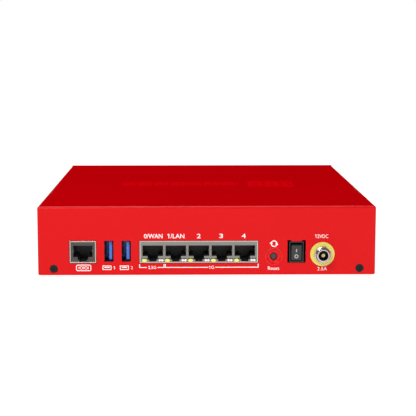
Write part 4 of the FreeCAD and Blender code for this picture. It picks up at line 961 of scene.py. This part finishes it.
    def build(self) -> None:
        """Prints every legend on the panel."""
        low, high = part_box("reset_button")
        reset_x = (low.x + high.x) / 2
        inlet_x = MOUNTS["inlet_centre_contact"].x
        split = (self.ports[0] + self.ports[1]) / 2
        pieces = self.port_labels()
        pieces.append(self.speed_line("speed_first", "2.5G", self.block_left - 0.3 * MM, split + 0.05 * MM,
                                      self.ports[0] - 0.35 * MM, 4.8))
        pieces.append(self.speed_line("speed_others", "1G", split + 0.35 * MM, self.block_right + 0.4 * MM,
                                      (split + self.block_right) / 2 + 0.4 * MM, 2.7))
        pieces.append(self.console_mark())
        pieces += [self.socket_mark(number, f"data_socket_{number}_shell") for number in (1, 2)]
        pieces.append(self.reset_mark())
        captions = (("label_reset", "Reset", reset_x - 0.1 * MM, 3.95, (6.9, 2.15), 0.004),
                    ("label_voltage", "12VDC", inlet_x - 0.3 * MM, 23.6, (7.5, 2.3), 0.0),
                    ("label_current", "2.5A", inlet_x, 3.6, (5.8, 2.1), 0.0))
        pieces += [self.label(name, text, (x, self.base + rise * MM), size, weight)
                   for name, text, x, rise, size, weight in captions]
        for piece in pieces:
            fit(piece, Body.CASE, "red_powder_coat", PRINT_INK)


# ---- Case --------------------------------------------------------------------------------------
@dataclass
class Case:
    """The painted case: cover, tray, screws, feet, front fascia and the motif pressed into the top.

    Attributes:
        sheet_edge_mm: rounding of the sheet's cut edges.
        brick_mm: length, width and height of one raised brick.
        joint_mm: gap between two bricks.
        motif_mm: middle of the motif from the panel.
        walls: left end, right end and courses of each patch of bricks.
        light_pitch_mm: spacing of the status lights.
        mark_drop_mm: middle of the marks over the lights below the fascia's top.
        mark_mm: width and height of such a mark.
        thin_mark_mm: width of a mark that is one upright stroke.
    """

    sheet_edge_mm: float = 0.15
    brick_mm: tuple[float, float, float] = (10.0, 4.2, 0.25)
    joint_mm: float = 1.3
    motif_mm: float = 98.0
    walls: tuple[tuple[float, float, int], ...] = ((-57.0, 24.0, 3), (30.0, 61.5, 5))
    light_pitch_mm: float = 11.5
    mark_drop_mm: float = 2.6
    mark_mm: tuple[float, float] = (1.1, 1.7)
    thin_mark_mm: float = 0.3

    def sheet_metal(self) -> None:
        """Cover and tray with their cut edges softened."""
        cover = stand_in("cover_shell", "cover", self.sheet_edge_mm)
        # The cover's upward faces take the darker coat: painted shade on the top.
        repaint(cover, TOP_SHADE_COAT, lambda face: face.normal.z > 0.99)
        stand_in("base_tray", "tray", self.sheet_edge_mm)

    def course(self, left: float, right: float, middle: float, half_first: bool) -> list[Piece]:
        """One row of raised bricks from left to right, the first and last cut to fit.

        Args:
            left: where the row starts, in millimetres.
            right: where it ends.
            middle: its place along Y, in metres.
            half_first: whether it starts with half a brick.

        Returns:
            Its bricks.
        """
        length, width, height = self.brick_mm
        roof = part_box("cover_shell")[1].z
        bricks = []
        start, end = left, left + (length / 2 if half_first else length)
        while start < right - self.joint_mm:
            brick = block("brick", (start * MM, middle - width / 2 * MM, roof - height / 2 * MM),
                          (min(end, right) * MM, middle + width / 2 * MM, roof + height * MM))
            bevel(brick, lambda edge: abs(edge_way(edge).z) > ALONG, 0.7 * MM, 3)
            bricks.append(bevel(brick, lambda edge: edge_middle(edge).z > roof, 0.15 * MM, 2))
            start, end = end + self.joint_mm, end + self.joint_mm + length
        return bricks

    def motif(self) -> None:
        """Two patches of brick bond raised on the top, tone on tone."""
        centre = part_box("cover_shell")[0].y + self.motif_mm * MM
        step = (self.brick_mm[1] + self.joint_mm) * MM
        bricks = []
        for left, right, courses in self.walls:
            for number in range(courses):
                middle = centre + (number - (courses - 1) / 2) * step
                bricks += self.course(left, right, middle, number % 2 == 1)
        fit(smooth(joined("brick_motif", bricks)), Body.CASE, "red_powder_coat", RAISED_COAT)

    def small_parts(self) -> None:
        """Rear screws, feet, fascia and light guide with their edges softened."""
        stand_in("cover_screws", "rear_screws", 0.12)
        for place in ("rear_left", "rear_right", "front_left", "front_right"):
            stand_in(f"foot_{place}", f"rubber_{place}", 0.3)
        stand_in("front_fascia", "fascia", 0.12)
        stand_in("light_guide", "light_pipe", 0.08)

    def fascia_marks(self) -> None:
        """Plain marks over the status lights: ports 0 to 4, and I and O by turns over the others."""
        _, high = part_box("front_fascia")
        printer = Print(high.y)
        width, height = self.mark_mm
        pieces = []
        for number in range(-4, 5):
            text = str(number) if number >= 0 else "IO"[number % 2]
            size = (self.thin_mark_mm if text in "I1" else width, height)
            place = (-number * self.light_pitch_mm * MM, high.z - self.mark_drop_mm * MM)
            pieces.append(printer.words("mark", text, place, size, 0.01, facing_front=True))
        fit(joined("fascia_numbers", pieces), Body.CASE, "fascia_plastic", PRINT_INK)

    def build(self) -> None:
        """Builds the whole case."""
        self.sheet_metal()
        self.motif()
        self.small_parts()
        self.fascia_marks()


# ---- Network jacks -----------------------------------------------------------------------------
@dataclass
class NetworkJacks:
    """The console jack and the row of five ports: shields, inserts, springs, contacts and lamps.

    Attributes:
        spring_mm: how far a ground spring stands into the mouth, its depth and its half height.
        spring_rise_mm: middle of the springs above the jack's underside.
        spring_depth_mm: middle of the springs behind the jack's front.
        port_mouth_mm: width of a port's mouth.
        console_mouth_mm: width of the console jack's mouth.
        rim_depth_mm: how far a shield's rim stands in front of its face.
        lamp_depth_mm: depth of a lamp's lens.
        lamp_drop_mm: how far a lens sits below the middle of its lamp.
        lobe_mm: radius of a clear lamp's lobes.
    """

    spring_mm: tuple[float, float, float] = (0.42, 1.5, 1.5)
    spring_rise_mm: float = 7.3
    spring_depth_mm: float = 1.2
    port_mouth_mm: float = 12.5
    console_mouth_mm: float = 11.7
    rim_depth_mm: float = 0.3
    lamp_depth_mm: float = 1.6
    lamp_drop_mm: float = 0.3
    lobe_mm: float = 0.85

    def spring(self) -> Piece:
        """One ground spring on the right wall of a mouth, at the origin."""
        return leaf_spring("spring", (0, 0, 0), self.spring_mm, 0.05 * MM, 1, 20, 12)

    def springs(self, name: str, mounts: Sequence[str], mouth_mm: float) -> None:
        """A spring on each side wall of each mouth."""
        low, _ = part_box("port_block_shield")
        leaf = self.spring()
        height, depth = low.z + self.spring_rise_mm * MM, low.y + self.spring_depth_mm * MM
        copies = []
        for mount in mounts:
            for side in (-1, 1):
                x = MOUNTS[mount].x + side * mouth_mm / 2 * MM
                copies.append(copied(leaf, "spring", (x, depth, height), mirrored=side < 0))
        bpy.data.objects.remove(leaf)
        fit(joined(name, copies), Body.CASE, "jack_metal")

    def yellow_lens(self) -> Piece:
        """The link lamp's lens at the origin: a lozenge with a domed front."""
        low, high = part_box("link_lamps")
        height = (high.z - low.z) / 2
        width = height * 1.6
        lens = rod("lens", (0, 0, 0), 1.0, 1.0, 32)
        lens.scale = (width, self.lamp_depth_mm * MM, height)
        settle(lens, "lens")
        front = -self.lamp_depth_mm / 2 * MM
        with editing(lens):
            pick(lens, "faces", lambda face: face.normal.y < -ALONG)
            bpy.ops.mesh.inset(thickness=0.25 * MM, depth=0.15 * MM)
            bpy.ops.mesh.inset(thickness=0.3 * MM, depth=0.07 * MM)
        lens.location.y = -front + low.y - 0.05 * MM
        return smooth(settle(lens, "lens"), 60)

    def clear_lens(self) -> Piece:
        """The activity lamp's two round lobes at the origin, on one body."""
        low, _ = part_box("activity_lamps")
        radius = self.lobe_mm * MM
        lobes = []
        for side in (-1, 1):
            lobe = ball("lobe", (side * radius * 0.95, 0, 0), (self.lobe_mm,) * 3, 24, 16)
            with editing(lobe):
                pick(lobe, "faces", lambda face: face.calc_center_median().y > 0.2 * radius)
                bpy.ops.transform.translate(value=(0, self.lamp_depth_mm / 2 * MM, 0))
            lobes.append(lobe)
        lens = joined("lens", lobes)
        lens.location.y = low.y + radius - 0.1 * MM
        return smooth(settle(lens, "lens"), 60)

    def lamps(self) -> None:
        """Both rows of lamps, each lens modelled once and copied."""
        rows = (("link_lamps", "link_lenses", self.yellow_lens()),
                ("activity_lamps", "activity_lenses", self.clear_lens()))
        for node, name, lens in rows:
            low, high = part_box(node)
            pitch = MOUNTS["port_1"].x - MOUNTS["port_0"].x
            first = (low.x + high.x) / 2 - 2 * pitch
            height = (low.z + high.z) / 2 - self.lamp_drop_mm * MM
            copies = [copied(lens, "lens", (first + number * pitch, 0, height)) for number in range(5)]
            bpy.data.objects.remove(lens)
            fit(joined(name, copies), Body.CASE, NODE_SLOTS[node], nodes=[node])

    def burnish(self, shell: Piece) -> None:
        """Gives the rim in front of a shield's face a paler finish of its own: a painted highlight."""
        front = min(vertex.co.y for vertex in shell.data.vertices)
        repaint(shell, RIM_HIGHLIGHT_PLATE, lambda face: face.center.y < front + self.rim_depth_mm * MM)

    def build(self) -> None:
        """Builds both connectors."""
        # The console jack's shield takes the darker plate: painted shade of its recessed face.
        for jack, finish in (("console_jack", SHADED_JACK_FACE), ("port_block", JACK_PLATE)):
            # Each shield's rim then takes a paler plate: a painted highlight.
            self.burnish(stand_in(f"{jack}_shield", f"{jack}_shell", 0.14, finish))
            stand_in(f"{jack}_insert", f"{jack}_core", 0.1)
        self.springs("console_springs", ["console_jack"], self.console_mouth_mm)
        self.springs("port_springs", [f"port_{number}" for number in range(5)], self.port_mouth_mm)
        self.lamps()


# ---- Data sockets ------------------------------------------------------------------------------
@dataclass
class DataSockets:
    """Two upright data sockets: drawn shell, blue tongue and two leaf springs on the wall across from it.

    Attributes:
        leaf_mm: how far a leaf stands in, its depth and its half height.
        leaf_places_mm: middles of the leaves above and below the socket's middle.
        leaf_inset_mm: middle of a leaf from the socket's left side and behind its front.
        wall_mm: inner face of the socket's left wall from its left side.
    """

    leaf_mm: tuple[float, float, float] = (0.5, 1.8, 0.9)
    leaf_places_mm: tuple[float, float] = (3.2, -2.9)
    leaf_inset_mm: tuple[float, float] = (0.3, 3.0)
    wall_mm: float = 0.28

    def leaves(self, number: int) -> None:
        """The two leaf springs of one socket."""
        low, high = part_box(f"data_socket_{number}_shell")
        right, back = self.leaf_inset_mm
        wall = low.x + self.wall_mm * MM
        leaves = []
        for place in self.leaf_places_mm:
            centre = (low.x + right * MM, low.y + back * MM, (low.z + high.z) / 2 + place * MM)
            leaves.append(leaf_spring("leaf", centre, self.leaf_mm, wall, -1, 16, 10))
        fit(joined(f"data_socket_{number}_leaves", leaves), Body.CASE, "jack_metal")

    def build(self) -> None:
        """Builds both sockets."""
        for number in (1, 2):
            name = f"data_socket_{number}"
            # The can takes a near-black plate: painted shade of the socket's recess.
            stand_in(f"{name}_shell", f"{name}_can", 0.1, SHADED_SOCKET_CAN)
            stand_in(f"{name}_tongue", f"{name}_blade", 0.2)
            self.leaves(number)


# ---- Reset button and power switch -------------------------------------------------------------
@dataclass
class ResetButton:
    """The reset button's stem, with a rounded rim and a shallow finger dip in its end, and its dish's rims.

    Attributes:
        dip_mm: depth of the finger dip.
        stem_mm: radius of the stem.
        collar_mm: length of the collar behind it.
        rims_mm: radius and depth of each rounded rim of the pressed dish.
        rim_mm: width and height of such a rim.
    """

    dip_mm: float = 0.12
    stem_mm: float = 1.85
    collar_mm: float = 1.0
    rims_mm: tuple[tuple[float, float], ...] = ((4.95, 0.0), (3.15, 1.0))
    rim_mm: tuple[float, float] = (0.5, 0.14)

    def rims(self) -> None:
        """The soft rims that pressing left round the dish and round its floor."""
        low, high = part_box("reset_button")
        centre = ((low.x + high.x) / 2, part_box("cover_shell")[0].y, (low.z + high.z) / 2)
        width, height = self.rim_mm
        rings = []
        for radius, depth in self.rims_mm:
            arch = [(radius + width / 2 * math.cos(angle), depth - height * math.sin(angle))
                    for angle in (number * math.pi / 8 for number in range(9))]
            low_ring = [(radius - width / 2, depth + height), (radius + width / 2, depth + height), arch[0]]
            rings.append(turned("rim", centre, arch + low_ring, 64))
        fit(joined("reset_dish_rims", rings), Body.CASE, "red_powder_coat", RIM_COAT)

    def build(self) -> None:
        """Builds the button, turned as one piece with its collar."""
        low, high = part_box("reset_button")
        centre = ((low.x + high.x) / 2, low.y, (low.z + high.z) / 2)
        length = (high.y - low.y) / MM
        collar = (high.x - low.x) / 2 / MM
        stem, shoulder = self.stem_mm, length - self.collar_mm
        profile = [(0, self.dip_mm), (0.7, self.dip_mm * 0.7), (1.3, 0.02), (1.6, 0.02), (1.78, 0.1),
                   (stem, 0.3), (stem, shoulder), (collar, shoulder), (collar, length), (0, length)]
        fit(turned("reset_stem", centre, profile, 48), Body.RESET, "button_plastic", nodes=["reset_button"])
        self.rims()


@dataclass
class PowerSwitch:
    """The rocker switch: moulded housing, rocker and the on and off marks printed on the rocker.

    Attributes:
        mark_film_mm: thickness of the marks.
        ring_mm: outer and inner radius of the off mark.
        bar_mm: width and height of the on mark.
        bar_drop_mm: on mark below the middle of its face.
        face_depth_mm: how far behind the rocker's foremost point its faces reach.
    """

    mark_film_mm: float = 0.06
    ring_mm: tuple[float, float] = (1.2, 0.72)
    bar_mm: tuple[float, float] = (0.6, 2.1)
    bar_drop_mm: float = 1.1
    face_depth_mm: float = 2.0

    def rocker_face(self, upper: bool) -> tuple[Vector, Vector]:
        """Middle and outward direction of the rocker's upper or lower face, from the CAD mesh."""
        low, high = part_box("power_rocker")
        middle = (low.z + high.z) / 2
        centre, normal, total = Vector((0, 0, 0)), Vector((0, 0, 0)), 0.0
        for face in frame["nodes"]["power_rocker"].data.polygons:
            in_front = face.normal.y < -0.85 and face.center.y < low.y + self.face_depth_mm * MM
            if in_front and (face.center.z > middle) == upper:
                centre += face.center * face.area
                normal += face.normal * face.area
                total += face.area
        return centre / total, normal.normalized()

    def on_face(self, piece: Piece, name: str, upper: bool) -> Piece:
        """Lays a mark that was printed at the origin onto one of the rocker's faces."""
        centre, normal = self.rocker_face(upper)
        piece.rotation_euler = (-math.atan2(normal.z, -normal.y), 0, 0)
        piece.location = centre
        return settle(piece, name)

    def build(self) -> None:
        """Builds the switch."""
        stand_in("power_switch_housing", "switch_frame", 0.25)
        stand_in("power_rocker", "rocker", 0.25, body=Body.ROCKER, segments=3)
        printer = Print(0.0, self.mark_film_mm)
        half_width, half_height = (size / 2 * MM for size in self.bar_mm)
        drop = self.bar_drop_mm * MM
        bar = printer.flat("bar", (-half_width, -half_height - drop), (half_width, half_height - drop))
        ring = printer.arc("ring", (0, 0), *self.ring_mm, 0, 360)
        fit(self.on_face(bar, "mark_on", True), Body.ROCKER, "rocker_plastic", PAD_PRINT)
        fit(self.on_face(ring, "mark_off", False), Body.ROCKER, "rocker_plastic", PAD_PRINT)


# ---- Power inlet -------------------------------------------------------------------------------
@dataclass
class PowerInlet:
    """The screw-lock power inlet: ringed washer, chamfered hex nut, threaded barrel, liner and centre pin.

    Attributes:
        thread_pitch_mm: spacing of the barrel's thread.
        thread_depth_mm: depth of the thread.
        nut_flats_mm: width of the nut across its flats.
        nut_turn: how far the nut is turned from a corner straight up, in degrees.
    """

    thread_pitch_mm: float = 0.5
    thread_depth_mm: float = 0.22
    nut_flats_mm: float = 9.5
    nut_turn: float = 15.0

    def centre(self, node: str) -> tuple[Vector, float, float]:
        """Middle of a round node's outer end, its radius and its length, the last two in millimetres."""
        low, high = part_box(node)
        middle = Vector(((low.x + high.x) / 2, low.y, (low.z + high.z) / 2))
        return middle, (high.x - low.x) / 2 / MM, (high.y - low.y) / MM

    def washer(self) -> None:
        """The coloured washer, with a rounded rim and two fine rings turned into its face."""
        centre, radius, length = self.centre("inlet_washer")
        bore = 4.05
        profile = [(bore, length), (bore, 0.1), (bore + 0.1, 0), (5.9, 0), (5.98, 0.12), (6.12, 0.12),
                   (6.2, 0.02), (6.9, 0.03), (6.98, 0.2), (7.1, 0.22), (radius - 0.12, 0.25), (radius, 0.4),
                   (radius, length - 0.12), (radius - 0.1, length), (bore, length)]
        fit(turned("lemon_washer", centre, profile, 96), Body.CASE, "yellow_washer", nodes=["inlet_washer"])

    def nut(self) -> None:
        """The hex nut, its corners chamfered by a turned cone and its bore countersunk."""
        centre, _, length = self.centre("inlet_nut")
        flats = self.nut_flats_mm / 2
        corner = flats / math.cos(math.radians(30))
        middle = centre + Vector((0, length / 2 * MM, 0))
        nut = rod("hex_nut", middle, corner * MM, length * MM, 6, math.radians(self.nut_turn))
        cone = turned("cone", centre, [(0, 0), (flats - 0.25, 0), (flats + 1.2, 0.75), (flats + 1.2, length),
                                       (0, length)])
        bore = turned("bore", centre, [(0, -1), (4.5, -1), (4.5, 0), (4.02, 0.4), (4.02, length + 1),
                                       (0, length + 1)])
        for tool, operation in ((cone, "INTERSECT"), (bore, "DIFFERENCE")):
            apply_modifier(nut, "BOOLEAN", object=tool, operation=operation, solver="EXACT")
            bpy.data.objects.remove(tool)
        fit(smooth(nut, 20), Body.CASE, "nickel_plate", nodes=["inlet_nut"])

    def barrel(self) -> None:
        """The threaded barrel, chamfered at its mouth."""
        centre, flange, length = self.centre("inlet_barrel")
        radius, bore, lip, flange_length = 4.0, 3.4, 2.97, 1.2
        proud = (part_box("cover_shell")[0].y - centre.y) / MM
        flange_start = length - flange_length
        profile = [(bore, length), (bore, 0.48), (lip, 0.45), (lip, 0.2), (lip + 0.2, 0), (radius - 0.35, 0),
                   (radius - self.thread_depth_mm, 0.15)]
        back = 0.3
        while back + self.thread_pitch_mm < proud - 1.0:
            profile += [(radius, back + 0.3 * self.thread_pitch_mm),
                        (radius - self.thread_depth_mm, back + 0.95 * self.thread_pitch_mm)]
            back += self.thread_pitch_mm
        profile += [(radius, proud), (radius, flange_start), (flange, flange_start), (flange, length),
                    (bore, length)]
        fit(turned("threaded_barrel", centre, profile, 96), Body.CASE, "nickel_plate", nodes=["inlet_barrel"])

    def liner_and_pin(self) -> None:
        """The black liner, with its lead-in, and the centre pin with a domed tip."""
        centre, radius, length = self.centre("inlet_liner")
        bore = 2.95
        liner = [(bore, length), (bore, 0.35), (bore + 0.28, 0), (radius, 0), (radius, length),
                 (bore, length)]
        fit(turned("bore_liner", centre, liner, 64), Body.CASE, "black_plastic", nodes=["inlet_liner"])
        tip, pin_radius, pin_length = self.centre("inlet_contact")
        exposed = 6.6
        pin = [(0, 0.22), (0.3, 0.22), (0.42, 0.06), (0.75, 0.02), (1.05, 0.14), (pin_radius, 0.45),
               (pin_radius, exposed), (0.9, exposed), (0.9, pin_length), (0, pin_length)]
        fit(turned("centre_pin", tip, pin, 40), Body.CASE, "contact_nickel", nodes=["inlet_contact"])

    def build(self) -> None:
        """Builds the inlet."""
        self.washer()
        self.nut()
        self.barrel()
        self.liner_and_pin()


# ---- Everything kept from the CAD model --------------------------------------------------------
def dress_cad_nodes() -> None:
    """Gives every CAD node the finish of its material slot."""
    for name, piece in frame["nodes"].items():
        dress(piece, SLOT_FINISHES[NODE_SLOTS[name]])
        LOG.info("%s: dressed as %s", name, NODE_SLOTS[name])


# ---- Studio ------------------------------------------------------------------------------------
@dataclass
class Studio:
    """A white table, soft lamps and the camera.

    Attributes:
        camera_place: the camera, in metres.
        pitch: how far it looks down, in degrees.
        yaw: how far it looks to the right of +Y, in degrees.
        lens_mm: focal length on a sensor 36 mm wide.
        shift: sideways and upward shift of the lens, as shares of the view, which keep the panel nearly
            square.
        ambient: strength of the light from all round, on the panel's side and behind the case.
        table_glow: light that the white table gives of its own, which keeps it free of shadows.
    """

    camera_place: tuple[float, float, float] = (-0.0123, -0.7417, 0.1478)
    pitch: float = 6.9
    yaw: float = 0.75
    lens_mm: float = 93.25
    shift: tuple[float, float] = (0.018, -0.107)
    ambient: tuple[float, float] = (0.3, 0.002)
    table_glow: float = 0.96

    def camera(self) -> None:
        """The camera, at the height of someone who looks down a little at the connector panel."""
        data = bpy.data.cameras.new("camera")
        data.lens, data.sensor_width = self.lens_mm, 36
        data.shift_x, data.shift_y = self.shift
        camera = bpy.data.objects.new("camera", data)
        camera.location = self.camera_place
        camera.rotation_euler = (RIGHT_ANGLE - math.radians(self.pitch), 0, -math.radians(self.yaw))
        bpy.context.scene.collection.objects.link(camera)
        bpy.context.scene.camera = camera

    def lamp(self, name: str, place: Point, aim: Point, size: Point, power: float) -> None:
        """A soft rectangular lamp.

        Args:
            name: the lamp's name.
            place: where it hangs, in metres.
            aim: the point it faces.
            size: its width and height, in metres.
            power: its power, in watts.
        """
        data = bpy.data.lights.new(name, "AREA")
        data.shape, data.energy = "RECTANGLE", power
        data.size, data.size_y = size
        lamp = bpy.data.objects.new(name, data)
        lamp.location = place
        lamp.rotation_euler = (Vector(aim) - Vector(place)).to_track_quat("-Z", "Y").to_euler()
        bpy.context.scene.collection.objects.link(lamp)

    def table(self) -> None:
        """The white table, so wide that it fills the view."""
        bpy.ops.object.select_all(action="DESELECT")
        bpy.ops.mesh.primitive_plane_add(size=60, location=(0, 0, -0.0002))
        table = settle(bpy.context.object, "table")
        material = bpy.data.materials.new("White laminate table")
        material.use_nodes = True
        shader = material.node_tree.nodes["Principled BSDF"]
        shader.inputs["Base Color"].default_value = linear("#8c8c8c")
        shader.inputs["Roughness"].default_value = 0.9
        shader.inputs["Specular IOR Level"].default_value = 0.0
        shader.inputs["Emission Color"].default_value = linear("#ffffff")
        shader.inputs["Emission Strength"].default_value = self.table_glow
        table.data.materials.append(material)

    def surroundings(self) -> None:
        """White up to the horizon and a dimmer grey above it, so that the case's top stays deep red."""
        world = bpy.data.worlds.new("studio")
        world.use_nodes = True
        tree = world.node_tree
        shader = tree.nodes["Background"]
        place = add_node(tree, "ShaderNodeTexCoord")
        parts = add_node(tree, "ShaderNodeSeparateXYZ", links={0: place.outputs["Generated"]})
        side = add_node(tree, "ShaderNodeMapRange",
                        {"From Min": -0.4, "From Max": 0.4, "To Min": self.ambient[0],
                         "To Max": self.ambient[1]}, {"Value": parts.outputs["Y"]})
        height = add_node(tree, "ShaderNodeMapRange", {"From Min": 0.03, "From Max": 0.04, "To Min": 1.0},
                          {"Value": parts.outputs["Z"], "To Max": side.outputs["Result"]})
        tree.links.new(height.outputs["Result"], shader.inputs["Strength"])
        shader.inputs["Color"].default_value = (1, 1, 1, 1)
        bpy.context.scene.world = world

    def build(self) -> None:
        """Sets up the studio."""
        bpy.context.scene.view_settings.view_transform = "Standard"
        self.camera()
        self.table()
        self.surroundings()
        panel = (0, -0.1, 0.02)
        self.lamp("key", (-0.45, -1.0, 0.97), panel, (0.7, 0.45), 13.5)
        self.lamp("fill", (0.7, -1.3, 0.3), panel, (0.5, 0.7), 2.5)
        self.lamp("overhead", (0, 1.0, 1.6), (0, 0.1, 0), (1.0, 1.0), 15)


def main() -> None:
    """Builds the appliance's looks in order."""
    logging.basicConfig(level=logging.INFO, format="%(message)s")
    Studio().build()
    dress_cad_nodes()
    for assembly in (Case(), NetworkJacks(), DataSockets(), ResetButton(), PowerSwitch(), PowerInlet(),
                     PanelLegends()):
        assembly.build()
        LOG.info("%s is built", type(assembly).__name__)


if __name__ == "__main__":
    main()
